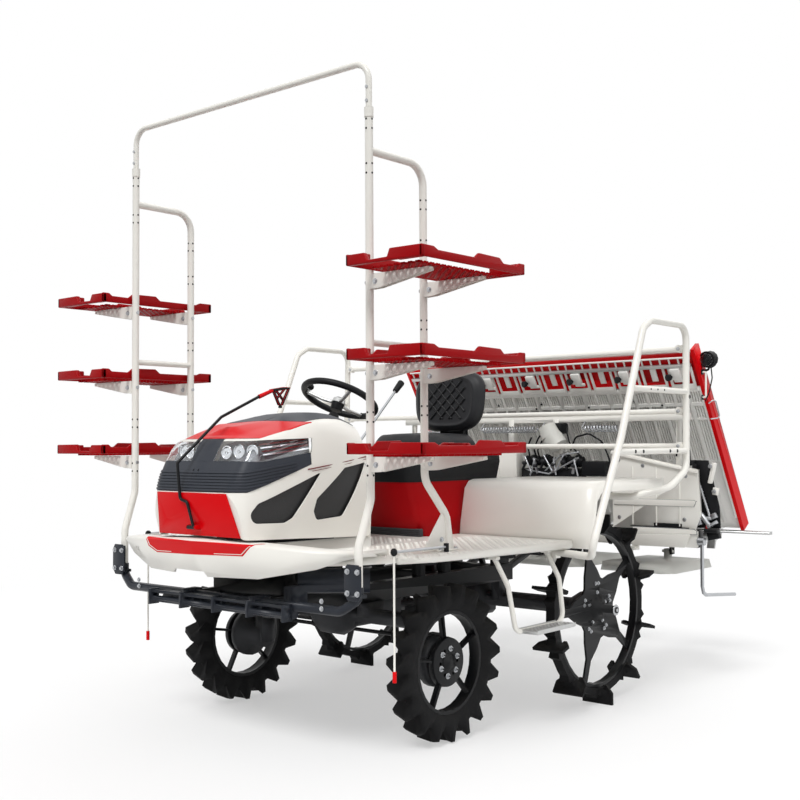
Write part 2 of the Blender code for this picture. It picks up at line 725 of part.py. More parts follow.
def add_apron():
    """The white apron that wraps the front of the walkway: a bent sheet whose flange stands on the deck."""
    wall = 0.012
    deep = 0.105
    rest_z = DECK_TOP_Z + SEAT_GAP
    rows = [(-row[0], *row[1:]) for row in reversed(APRON_TABLE[1:])] + list(APRON_TABLE)
    sections = []
    for x, top_y, low_y, low_z, z in rows:
        section = [
            (x, top_y, z - 0.010), (x, top_y + 0.010, z), (x * 0.97, top_y + deep, z), (x * 0.97, top_y + deep, rest_z),
            (x * 0.97, top_y + deep - wall, rest_z), (x * 0.97, top_y + deep - wall, z - wall),
            (x * 0.98, top_y + wall, z - wall), (x * 0.98, low_y + wall, low_z), (x, low_y, low_z),
        ]
        sections.append(section)
    notch = plate(APRON_NOTCH, 0.100, "XZ", -0.810)
    finish(cut(loft(sections), [notch]), "front_apron", "chassis", "white_paint")


def deck_edge_x(y):
    """Half width of the walkway beside the racks and the step."""
    return 0.800 + 0.083 * (y + 0.100) / 0.680


def add_deck():
    """The walkway: a plate under the apron, round the bonnet and back to the fenders, with a rolled edge."""
    top = DECK_TOP_Z
    back = FENDER_FOOT_Y - 0.003 - SEAT_GAP
    right = [
        (0.330, -0.765), (0.550, -0.680), (0.645, -0.560), (0.680, -0.470), (0.700, -0.420), (0.775, -0.250),
        (0.800, -0.100), (deck_edge_x(back), back),
    ]
    outline = [(-x, y) for x, y in right] + [(x, y) for x, y in reversed(right)]
    parts = [plate(outline, DECK_THICK, "XY", top - DECK_THICK / 2)]
    for side in (1, -1):
        edge = [(0.710, -0.400), (0.775, -0.250), (0.800, -0.100), (deck_edge_x(back - 0.02), back - 0.02)]
        parts.append(tube([(side * x, y, top - 0.0175) for x, y in edge], 0.018))
    # a low curb that the bonnet stands over
    curb = [(0.225, -0.705), (0.268, -0.680), (0.295, -0.560), (0.312, -0.400), (0.330, -0.270), (0.344, -0.146)]
    wall = CURB_WIDE
    outer = [(-x, y) for x, y in curb] + [(x, y) for x, y in reversed(curb)]
    back_x, back_y = curb[-1][0] - wall, curb[-1][1] - wall
    inner = [(-x + wall, y + wall) for x, y in curb[:-1]] + [(-back_x, back_y), (back_x, back_y)]
    inner += [(x - wall, y + wall) for x, y in reversed(curb[:-1])]
    parts.append(plate(outer, CURB_TOP_Z - top + 0.005, "XY", (CURB_TOP_Z + top - 0.005) / 2, holes=(inner,)))
    hole = plate([(-0.200, -0.620), (0.200, -0.620), (0.200, -0.165), (-0.200, -0.165)], 0.2, "XY", top)
    finish(cut(fuse(parts), [hole]), "deck", "chassis", "deck_paint")


def add_fenders():
    """Bent covers over the rear wheels that the operator steps on."""
    foot = FENDER_FOOT_Y
    # columns: y, z along the bend, from the walkway up and back over the wheel
    line = (
        (foot, 0.765), (foot + 0.010, 0.850), (foot + 0.045, FENDER_TOP_Z - 0.040), (foot + 0.075, FENDER_TOP_Z - 0.008),
        (foot + 0.110, FENDER_TOP_Z), (FENDER_REAR_Y, FENDER_TOP_Z),
    )
    for side, name in ((1, "left"), (-1, "right")):
        shape = bmesh.new()
        rows = []
        for y, z in line:
            rows.append([shape.verts.new((side * x, y, z)) for x in (FENDER_IN_X, 0.62, 0.90, FENDER_OUT_X)])
        for a, b in zip(rows, rows[1:]):
            for i in range(3):
                shape.faces.new((a[i], a[i + 1], b[i + 1], b[i]))
        # the outer edge hangs down as a short skirt
        out = side * (FENDER_OUT_X + 0.004)
        drop = [shape.verts.new((out, y + 0.004, max(z - 0.045, 0.750))) for y, z in line]
        for i in range(len(line) - 1):
            shape.faces.new((rows[i][3], drop[i], drop[i + 1], rows[i + 1][3]))
        obj = object_from(shape)
        shell = obj.modifiers.new("wall", "SOLIDIFY")
        shell.thickness = FENDER_SHEET
        shell.offset = 0.0
        finish(as_mesh(obj), "fender_" + name, "chassis", "white_paint")


# Bonnet
# columns: y, lean of the section's top, half width low, low z, half width at the shoulder, shoulder z, crown z
BONNET_TABLE = (
    (-0.785, -0.045, 0.256, 0.862, 0.222, 1.040, 1.046),
    (-0.775, -0.016, 0.272, 0.860, 0.250, 1.128, 1.136),
    (-0.725, 0.000, 0.290, 0.859, 0.262, 1.225, 1.246),
    (-0.660, 0.000, 0.305, 0.858, 0.272, 1.255, 1.272),
    (-0.540, 0.000, 0.322, 0.855, 0.300, 1.290, 1.305),
    (-0.415, 0.000, 0.335, 0.850, 0.318, 1.322, 1.338),
    (-0.270, 0.000, 0.345, 0.846, 0.316, 1.292, 1.370),
    (-0.150, 0.000, 0.345, 0.842, 0.304, 1.255, 1.345),
)


def bonnet_sections(shrink=0.0):
    """The bonnet's cross sections, made smaller all round by shrink; the inside runs out through the bottom."""
    sections = []
    drop = 0.05 if shrink > 0.0 else 0.0
    for k, (y, lean, low, low_z, high, shoulder, crown) in enumerate(BONNET_TABLE):
        inset = shrink if k == 0 else (-shrink if k == len(BONNET_TABLE) - 1 else 0.0)
        wide = (low + 0.010, (low_z + shoulder) / 2)
        right = [(low, low_z - drop), wide, (high, shoulder - shrink), (high * 0.72, crown - 0.010 - shrink)]
        ring = [(x - shrink, y + inset + lean * (z - low_z) / (crown - low_z), z) for x, z in right]
        centre = (0.0, y + inset + lean, crown - shrink)
        sections.append(ring + [centre] + [(-x, v, w) for x, v, w in reversed(ring)])
    return sections


def bonnet_shell(wall=BONNET_WALL):
    return cut(loft(bonnet_sections()), [loft(bonnet_sections(wall))])


def common(a, b):
    return boolean(a, [b], "INTERSECT", "MANIFOLD")


def visor_zone(grow=0.0):
    g = grow
    line = [
        (-0.900, 1.0445 - g), (-0.780, 1.0445 - g), (-0.485 + g, 1.150 - g), (-0.485 + g, 1.196 + g),
        (-0.710, 1.1612 + g), (-0.900, 1.1715 + g),
    ]
    return plate(line, 0.90, "YZ", 0.0)


def lamp_zone(side, grow=0.0):
    g = grow
    line = [
        (-0.820, 1.168 - g), (-0.710, 1.162 - g), (-0.480 + g, 1.198 - g), (-0.470 + g, 1.254 + g), (-0.660, 1.246 + g),
        (-0.820, 1.236 + g),
    ]
    near = 0.068 - g
    return plate(line, 0.40 - near, "YZ", side * (0.40 + near) / 2)


def top_zone(grow=0.0):
    """Plan outline of the red top, in front of the dash."""
    g = grow
    half = [(0.067, -0.900), (0.067, -0.735), (0.214, -0.720), (0.236, -0.660), (0.270, -0.540), (0.286, -0.440)]
    half = [(x + g, y) for x, y in half]
    half[-1] = (half[-1][0], half[-1][1] + g)
    outline = [(-x, y) for x, y in half] + [(x, y) for x, y in reversed(half)]
    return plate(outline, 0.400, "XY", 1.2545 - g + 0.200)


def nose_zone(grow=0.0):
    """The strip of the visor that comes up between the lamps."""
    return block((0.1342 + 2 * grow, 0.300, 0.1197 + 2 * grow), (0.0, -0.850, 1.1941))


def dash_zone(grow=0.0):
    g = grow
    half = [(0.240, -0.4385), (0.262, -0.300), (0.240, -0.100)]
    half = [(x + g, y) for x, y in half]
    half[0] = (half[0][0], half[0][1] - g)
    outline = [(-x, y) for x, y in half] + [(x, y) for x, y in reversed(half)]
    return plate(outline, 0.400, "XY", 1.270 - g + 0.200)


def add_bonnet():
    """One skin split where the panels meet: white sides, visor, lamps, red top and dash."""
    gap = SEAT_GAP
    windows = []
    # the two openings in each side: corners as (y, z)
    for line in (
        [(-0.775, 0.958), (-0.755, 0.923), (-0.618, 0.921), (-0.580, 0.938), (-0.433, 1.117), (-0.740, 1.000)],
        [(-0.457, 0.924), (-0.322, 0.937), (-0.160, 1.153), (-0.291, 1.126), (-0.439, 1.016), (-0.456, 0.988)],
    ):
        for side in (1, -1):
            windows.append(plate(line, 0.20, "YZ", side * 0.34))
    zones = [visor_zone(gap), lamp_zone(1, gap), lamp_zone(-1, gap), top_zone(gap), nose_zone(gap), dash_zone(gap)]
    sides = cut(loft(bonnet_sections()), [loft(bonnet_sections(BONNET_WALL)), *windows, *zones], "MANIFOLD")
    finish(sides, "bonnet_sides", "chassis", "white_paint")
    visor = common(bonnet_shell(0.012), fuse([visor_zone(), nose_zone()]))
    finish(visor, "visor", "chassis", "grey_plastic")
    for side, name in ((1, "left"), (-1, "right")):
        finish(common(bonnet_shell(0.010), lamp_zone(side)), "headlamp_" + name, "chassis", "lamp_lens")
    finish(common(bonnet_shell(), top_zone()), "bonnet_top", "chassis", "red_paint")
    dash = common(bonnet_shell(0.010), dash_zone())
    # the dash runs on behind the bonnet as the hood of the steering column
    hood = []
    for y, half, low, high in ((-0.160, 0.200, 1.300, 1.338), (-0.060, 0.150, 1.285, 1.342), (0.010, 0.075, 1.270, 1.325)):
        c = high - 0.016
        hood.append([(half, y, low), (half, y, c), (half * 0.7, y, high), (-half * 0.7, y, high), (-half, y, c), (-half, y, low)])
    column = rod(COLUMN_FOOT, COLUMN_TOP, 0.034, 12, 0.026)
    finish(fuse([dash, loft(hood), column]), "dash", "chassis", "grey_plastic")
    # red front panel, a leaning plate over the shell's nose, with its shallow recess
    slope = -0.045 / 0.184
    sections = []
    for near in (SEAT_GAP + 0.0001, NOSE_PANEL):
        ring = []
        for x, z in ((-0.247, 0.868), (0.247, 0.868), (0.210, 1.040), (-0.210, 1.040)):
            ring.append((x, -0.785 + slope * (z - 0.862) - near, z))
        sections.append(ring)
    recess = block((0.300, 0.010, 0.030), (0.0, -0.810, 0.945))
    nose = [cut(loft(sections), [recess])]
    # two ears that hold the centre marker's pin
    pin_y, pin_z = CENTRE_MARKER_LINE[0]
    root_y = -0.785 + slope * (pin_z - 0.862) - NOSE_PANEL * 0.5
    ear = [(root_y, pin_z - 0.016), (pin_y - 0.012, pin_z - 0.012), (pin_y - 0.012, pin_z + 0.012), (root_y, pin_z + 0.016)]
    for side in (1, -1):
        nose.append(plate(ear, 0.006, "YZ", side * (CENTRE_PIN_HALF + RUNNING_GAP + 0.003)))
    finish(fuse(nose), "bonnet_front", "chassis", "red_plastic")


# Steering wheel and seat
def add_steering_wheel():
    foot, top = Vector(COLUMN_FOOT), Vector(COLUMN_TOP)
    along = (top - foot).normalized()
    hub = top + along * RUNNING_GAP
    new_body("steering_wheel", tuple(hub))
    centre = hub + along * 0.075
    side = Vector((1.0, 0.0, 0.0))
    up = along.cross(side)
    radius = STEERING_WHEEL_R - STEERING_RIM_R
    turns = [2 * math.pi * k / 24 for k in range(24)]
    ring = [centre + (side * math.cos(t) + up * math.sin(t)) * radius for t in turns]
    parts = [tube(ring, STEERING_RIM_R, rings=1, closed=True)]
    parts.append(rod(hub, hub + along * 0.045, 0.040, 12, 0.050))
    for turn in (90, 210, 330):
        t = math.radians(turn)
        out = side * math.cos(t) + up * math.sin(t)
        parts.append(bar(hub + along * 0.034 + out * 0.030, centre + out * radius, 0.036, 0.014))
    t = math.radians(200)
    grip = centre + (side * math.cos(t) + up * math.sin(t)) * radius
    parts.append(rod(grip, grip + along * 0.045, 0.010, 8))
    parts.append(rod(grip + along * 0.040, grip + along * 0.070, 0.020, 10, 0.024))
    finish(fuse(parts), "steering_wheel", "steering_wheel", "grey_plastic")


def add_seat():
    """The red moulded box, narrow at its waist, and the seat that tips forward on its front edge."""
    # columns: z, half width, front y
    rows = ((DECK_TOP_Z + SEAT_GAP, 0.250, 0.330), (0.900, 0.235, 0.300), (1.060, 0.225, 0.250), (1.140, 0.245, 0.235))
    rows += ((1.168, 0.242, 0.245),)
    sections = []
    for z, half, front in rows:
        c = 0.045
        sections.append(
            [(-half, front + c, z), (-half + c, front, z), (half - c, front, z), (half, front + c, z), (half, SEAT_BASE_REAR_Y, z), (-half, SEAT_BASE_REAR_Y, z)]
        )
    parts = [loft(sections)]
    # two lugs at its front hold the seat's hinge pin
    hinge_y, hinge_z = SEAT_HINGE
    for side in (1, -1):
        lug = [(hinge_y - 0.022, 1.150), (hinge_y + 0.022, 1.150), (hinge_y + 0.014, hinge_z + 0.018), (hinge_y - 0.014, hinge_z + 0.018)]
        hole = arc((hinge_y, hinge_z), HINGE_HOLE_R, 360, 22.5, 15)
        parts.append(plate(lug, 0.012, "YZ", side * 0.150, [hole]))
    finish(fuse(parts), "seat_base", "chassis", "red_plastic")
    new_body("seat", (0.0, hinge_y, hinge_z))
    pan = [rod((-0.156, hinge_y, hinge_z), (0.156, hinge_y, hinge_z), HINGE_PIN_R, 8)]
    pan.append(block((0.200, 0.080, 0.014), (0.0, hinge_y + 0.040, hinge_z)))
    pan.append(block((0.360, 0.360, 0.020), (0.0, hinge_y + 0.240, hinge_z + 0.002)))
    pan.append(block((0.420, 0.420, 0.070), (0.0, 0.640, hinge_z + 0.044), 0.020))
    pan.append(block((0.160, 0.036, 0.260), (0.0, 0.872, 1.310)))
    outline = round_outline(-0.200, 1.285, 0.200, 1.600, 0.100, 4)
    pan.append(plate(outline, 0.070, "XZ", 0.842))
    pan.append(block((0.160, 0.060, 0.020), (0.0, 0.860, hinge_z + 0.004)))
    finish(fuse(pan), "seat", "seat", "seat_vinyl")


# Racks
def add_racks():
    """A post frame on each side with three pairs of bracket arms, and the hoop that joins their tops."""
    for side, name in ((1, "left"), (-1, "right")):
        x = side * RACK_X
        foot_x = side * RACK_FOOT_X
        front = [(foot_x, RACK_FOOT_Y, 0.700), (foot_x, RACK_FOOT_Y, 0.850), (x, RACK_FRONT_Y, 1.020), (x, RACK_FRONT_Y, HOOP_Z - 0.175)]
        rear = [(x, RACK_FRONT_Y, RACK_LINK_Z), (x, RACK_REAR_Y, RACK_LINK_Z), (x, RACK_REAR_Y, 1.085)]
        rear += [(x, RACK_REAR_Y + 0.140, 0.935), (x, RACK_REAR_Y + 0.140, 0.850)]
        parts = [tube(front, RACK_TUBE_R, 0.10), tube(rear, RACK_TUBE_R, 0.085)]
        parts.append(tube([(x, RACK_FRONT_Y, 1.610), (x, RACK_REAR_Y, 1.610)], RACK_TUBE_R * 0.8))
        for top in SHELF_TOP_Z:
            z = top - SHELF_DEEP - SEAT_GAP
            for y in (RACK_FRONT_Y, RACK_REAR_Y):
                # a tapered arm folded from sheet: deep at the post, shallow at its tip
                arm = [(0.010, -0.058), (0.060, -0.056), (0.300, -0.014), (0.300, 0.0), (0.010, 0.0)]
                parts.append(plate([(x + side * u, z + v) for u, v in arm], 0.028, "XZ", y))
        low = DECK_TOP_Z + SEAT_GAP
        gusset = [(RACK_REAR_Y + 0.062, low + 0.003), (RACK_REAR_Y + 0.183, low + 0.003), (RACK_REAR_Y + 0.160, 0.915), (RACK_REAR_Y + 0.120, 0.930)]
        parts.append(plate(gusset, 0.010, "YZ", x))
        parts.append(block((0.060, 0.125, 0.006), (x, RACK_REAR_Y + 0.1225, low + 0.003)))
        finish(fuse(parts), "rack_" + name, "chassis", "white_paint")
    low = HOOP_Z - 0.175 + SEAT_GAP
    y = RACK_FRONT_Y
    hoop = [(-RACK_X, y, low), (-RACK_X, y, HOOP_Z), (RACK_X, y, HOOP_Z), (RACK_X, y, low)]
    finish(tube(hoop, HOOP_TUBE_R, 0.070), "rack_hoop", "chassis", "white_paint")


def shelf(side, top):
    """A seedling tray shelf: a rimmed frame with raised end blocks and cross slats."""
    x = side * (SHELF_IN_X + SHELF_WIDE / 2)
    y = SHELF_MIDDLE_Y
    half_x, half_y = SHELF_WIDE / 2, SHELF_LONG / 2
    low = top - SHELF_DEEP
    inner_x, inner_y = half_x - SHELF_RIM, half_y - SHELF_RIM
    outer = round_outline(x - half_x, y - half_y, x + half_x, y + half_y, 0.030, 1)
    inner = [(x - inner_x, y - inner_y), (x + inner_x, y - inner_y), (x + inner_x, y + inner_y), (x - inner_x, y + inner_y)]
    parts = [plate(outer, 0.024, "XY", low + 0.012, holes=(inner,))]
    for k in (-1, 1):
        parts.append(block((2 * inner_x + 0.010, 0.040, 0.012), (x, y + k * 0.110, low + 0.007)))
    # columns: centre of a raised block off the shelf's middle, its size, its height
    for u, v, wide, long, high in (
        (-0.130, -0.296, 0.080, 0.030, 0.045), (0.105, -0.296, 0.130, 0.030, 0.045), (-0.130, 0.296, 0.080, 0.030, 0.045),
        (0.105, 0.296, 0.130, 0.030, 0.045), (0.164, 0.100, 0.028, 0.170, 0.060), (-0.164, -0.100, 0.028, 0.170, 0.060),
    ):
        parts.append(block((wide, long, high - 0.002), (x + u, y + v, low + 0.001 + high / 2)))
    return fuse(parts)


def add_shelves():
    for side, name in ((1, "left"), (-1, "right")):
        for level, top in zip(("top", "middle", "bottom"), SHELF_TOP_Z):
            finish(shelf(side, top), f"shelf_{name}_{level}", "chassis", "red_plastic")


def add_rack_carrier():
    """The tube frame under the apron: its ends clamp the racks' front posts, and it carries the muffler."""
    z = CARRIER_Z
    y = CARRIER_Y
    half = [(0.640, -0.645, z), (RACK_FOOT_X, RACK_FOOT_Y, 0.655), (RACK_FOOT_X, RACK_FOOT_Y, 0.6997)]
    parts = [tube([(-u, v, w) for u, v, w in reversed(half)] + half, 0.019, 0.050)]
    for side in (1, -1):
        foot_x = side * RACK_FOOT_X
        front = RACK_FOOT_Y - RACK_TUBE_R - SEAT_GAP
        clamp = [(foot_x - 0.028, 0.660), (foot_x + 0.028, 0.660), (foot_x + 0.028, 0.780), (foot_x - 0.028, 0.780)]
        parts.append(plate(clamp, 0.010, "XZ", front - 0.005))
        parts.append(block((0.056, 0.050, 0.012), (foot_x, RACK_FOOT_Y - 0.010, 0.668)))
        parts.append(bar((side * RAIL_X, -0.6203, z), (side * RAIL_X, y, z), 0.040, 0.050))
        parts.append(block((0.050, 0.020, 0.070), (side * RAIL_X, -0.6303, z - 0.010)))
    rail = 0.420
    parts.append(rod((-rail, y, z - 0.030), (rail, y, z - 0.030), 0.014, 8))
    parts.append(block((2 * rail, 0.034, 0.012), (0.0, y, z + 0.004)))
    for k in range(5):
        x = (k / 2 - 1) * (rail - 0.010)
        parts.append(block((0.010, 0.050, 0.066), (x, y, z - 0.020)))
    # exhaust muffler, carried by a strap off the left tube
    parts.append(rod((0.330, -0.560, 0.690), (0.540, -0.370, 0.690), 0.050, 14))
    parts.append(block((0.030, 0.100, 0.075), (0.360, -0.605, 0.640)))
    finish(fuse(parts), "rack_carrier", "chassis", "black_paint")


# Guard rails and steps
def add_guard_rails():
    """A bent tube loop on each side behind the seat, with side bars, joined by three bars at the back."""
    parts = []
    for side in (1, -1):
        x = side * GUARD_X
        loop = [
            (side * 0.800, 0.560, GUARD_FOOT_Z), (side * 1.052, 0.463, GUARD_FOOT_Z), (x, 0.385, 0.800), (x, 0.632, 1.250),
            (x, GUARD_FRONT_Y - 0.045, 1.745), (x, GUARD_FRONT_Y + 0.030, GUARD_TOP_Z), (x, GUARD_REAR_Y, GUARD_TOP_Z),
            (x, GUARD_REAR_Y - 0.020, 1.100), (x, 1.070, 1.020), (side * 0.950, 1.000, 0.978), (side * 0.600, 1.000, 0.978),
        ]
        parts.append(tube(loop, GUARD_TUBE_R, 0.070))
        for z in (1.470, 1.190):
            front_y = 0.632 + (z - 1.250) * 0.4263
            parts.append(tube([(x, front_y, z), (x, GUARD_REAR_Y, z)], GUARD_TUBE_R * 0.9))
        foot_top = DECK_TOP_Z - DECK_THICK - SEAT_GAP
        parts.append(block((0.050, 0.040, foot_top - 0.722), (side * 0.800, 0.555, (foot_top + 0.722) / 2)))
        plate_top = FENDER_TOP_Z - 0.003 - SEAT_GAP
        parts.append(block((0.050, 0.040, plate_top - 0.975), (side * 0.625, 1.000, (plate_top + 0.975) / 2)))
    for z in GUARD_BAR_Z:
        y = GUARD_REAR_Y - 0.020 * (GUARD_TOP_Z - z) / (GUARD_TOP_Z - 1.100)
        parts.append(rod((-GUARD_X, y, z), (GUARD_X, y, z), 0.0135, 8))
    finish(fuse(parts), "guard_rails", "chassis", "white_paint")


def add_steps():
    for side, name in ((1, "left"), (-1, "right")):
        top = DECK_TOP_Z - DECK_THICK - SEAT_GAP
        x = side * 0.856
        inner = side * 0.790
        frame = [
            (inner, 0.122, top - 0.008), (x, 0.127, 0.640), (x, 0.180, 0.446), (x, 0.545, 0.446), (x, 0.512, 0.640),
            (inner, 0.512, top - 0.008),
        ]
        parts = [tube(frame, 0.011, 0.035, rings=1)]
        parts.append(block((0.110, 0.300, 0.022), (side * 0.890, 0.360, 0.446)))
        for y in (0.122, 0.512):
            parts.append(block((0.044, 0.030, 0.016), (inner, y, top - 0.008)))
        finish(fuse(parts), "step_" + name, "chassis", "white_paint")


# Markers that swing
def add_markers():
    for side, name in ((1, "left"), (-1, "right")):
        x, y = side * ROW_MARKER[0], ROW_MARKER[1]
        tip_x, tip_y = side * 0.753, -0.471
        new_body("row_marker_" + name, (x, y, 0.820))
        parts = [rod((x, y, 0.820), (tip_x, tip_y, 0.820), 0.006, 8)]
        parts.append(rod((x, y, DECK_TOP_Z + RUNNING_GAP), (x, y, 0.832), 0.011, 10))
        parts.append(rod((tip_x, tip_y, 0.350), (tip_x, tip_y, 0.830), 0.0045, 6))
        parts.append(rod((tip_x, tip_y, 0.805), (tip_x, tip_y, 0.836), 0.013, 10))
        parts.append(rod((tip_x, tip_y, 0.330), (tip_x, tip_y, 0.372), 0.008, 8))
        finish(fuse(parts), "row_marker_" + name, "row_marker_" + name, "steel")
    new_body("centre_marker", (0.0, CENTRE_MARKER_LINE[0][0], CENTRE_MARKER_LINE[0][1]))
    line = [(0.0, y, z) for y, z in CENTRE_MARKER_LINE]
    parts = [tube(line, 0.0065, 0.06, rings=1)]
    pivot = line[0]
    half = CENTRE_PIN_HALF
    parts.append(rod((-half, pivot[1], pivot[2]), (half, pivot[1], pivot[2]), CENTRE_PIN_R, 8))
    fin = [(-0.460, 1.428), (-0.460, 1.452), (-0.340, 1.476), (-0.300, 1.478), (-0.290, 1.440), (-0.330, 1.386), (-0.400, 1.386)]
    parts.append(plate(fin, 0.014, "YZ", 0.0))
    finish(fuse(parts), "centre_marker", "centre_marker", "black_paint")


# Lift linkage
def link_ends():
    """(y, lower z, upper z) of the planting unit's pins at rest."""
    rise = LIFT_LINK * math.sin(LIFT_ANGLE)
    return LIFT_FRONT_Y + LIFT_LINK * math.cos(LIFT_ANGLE), LOWER_PIN_Z + rise, UPPER_PIN_Z + rise


def add_lift():
    """Lower and upper links in a parallelogram, the horn on the lower ones and the cylinder's rod beside it."""
    rear_y, low_z, high_z = link_ends()
    new_body("lower_links", (0.0, LIFT_FRONT_Y, LOWER_PIN_Z))
    new_body("upper_links", (0.0, LIFT_FRONT_Y, UPPER_PIN_Z))
    horn_y, horn_z = LIFT_FRONT_Y + HORN_Y, LOWER_PIN_Z + HORN_Z
    for name, front_z, back_z in (("lower_links", LOWER_PIN_Z, low_z), ("upper_links", UPPER_PIN_Z, high_z)):
        parts = [rod((-0.130, LIFT_FRONT_Y, front_z), (0.130, LIFT_FRONT_Y, front_z), 0.017, 10)]
        for side in (1, -1):
            x = side * 0.128
            parts.append(bar((x, LIFT_FRONT_Y, front_z), (x, rear_y, back_z), 0.018, 0.034))
            for y, z in ((LIFT_FRONT_Y, front_z), (rear_y, back_z)):
                parts.append(rod((side * 0.112, y, z), (side * (0.145 - RUNNING_GAP), y, z), 0.022, 12))
                parts.append(rod((side * 0.112, y, z), (side * 0.162, y, z), PIN_R, 12))
        if name == "lower_links":
            horn = [
                (LIFT_FRONT_Y - 0.022, LOWER_PIN_Z), (LIFT_FRONT_Y + 0.022, LOWER_PIN_Z), (horn_y + 0.018, horn_z + 0.008),
                (horn_y, horn_z + 0.019), (horn_y - 0.018, horn_z + 0.004),
            ]
            parts.append(plate(horn, 0.012, "YZ", ROD_X + 0.0165))
        finish(fuse(parts), name, name, "black_paint")
    new_body("lift_rod", (ROD_X, horn_y, horn_z))
    parts = [rod((ROD_X, 0.840, horn_z), (ROD_X, horn_y, horn_z), 0.009, 12)]
    parts.append(rod((ROD_X - 0.010, horn_y, horn_z), (ROD_X + 0.010, horn_y, horn_z), 0.018, 12))
    finish(fuse(parts), "lift_rod", "lift_rod", "steel")


# Seedling tray
def slope_point(s, w):
    """(y, z) of the tray's slope: s down from its top edge, w out of its upper face."""
    run, fall = TRAY_LOW_Y - TRAY_TOP_Y, TRAY_LOW_Z - TRAY_TOP_Z
    long = math.hypot(run, fall)
    run, fall = run / long, fall / long
    return TRAY_TOP_Y + s * run - w * fall, TRAY_TOP_Z + s * fall + w * run


def slope_box(x0, x1, s0, s1, w0, w1):
    rings = []
    for x in (x0, x1):
        rings.append([(x, *slope_point(s, w)) for s, w in ((s0, w0), (s1, w0), (s1, w1), (s0, w1))])
    return loft(rings)


TRAY_LONG = math.hypot(TRAY_LOW_Y - TRAY_TOP_Y, TRAY_LOW_Z - TRAY_TOP_Z)
TRAY_IN_X = TRAY_HALF - 0.020


def add_tray():
    """The sloping seedling tray, white with its dividers and under-ribs, and its red side strips and top band."""
    new_body("tray", (0.0, TRAY_LOW_Y, TRAY_LOW_Z))
    inner = TRAY_IN_X - SEAT_GAP
    parts = [slope_box(-inner, inner, 0.0, TRAY_LONG, 0.0, 0.006)]
    for k in range(1, 6):
        x = (k / 3 - 1) * inner
        parts.append(slope_box(x - 0.005, x + 0.005, 0.006, TRAY_LONG - 0.060, 0.003, 0.045))
    for k in range(12):
        x = ((k + 0.5) / 6 - 1) * inner
        parts.append(slope_box(x - 0.009, x + 0.009, 0.230, TRAY_LONG - 0.050, -TRAY_RIB, 0.003))
    parts.append(slope_box(-inner, inner, 0.205, 0.232, -TRAY_RIB, 0.003))
    finish(fuse(parts), "seedling_tray", "tray", "white_paint")
    edge = []
    for side in (1, -1):
        near, far = sorted((side * TRAY_IN_X, side * TRAY_HALF))
        edge.append(slope_box(near, far, -0.010, TRAY_LONG + 0.004, -0.014, 0.055))
    edge.append(slope_box(-TRAY_IN_X - 0.006, TRAY_IN_X + 0.006, 0.010, 0.200, -0.012, -SEAT_GAP))
    lamp_y, lamp_z = 1.726, 1.655
    x = WORK_LAMP_X
    edge.append(tube([(TRAY_HALF - 0.008, lamp_y, 1.600), (x, lamp_y, 1.600), (x, lamp_y, lamp_z)], 0.006, 0.01))
    edge.append(rod((x, lamp_y - 0.030, lamp_z - 0.004), (x, lamp_y + 0.022, lamp_z + 0.004), 0.034, 12, 0.042))
    finish(fuse(edge), "tray_edge", "tray", "red_paint")


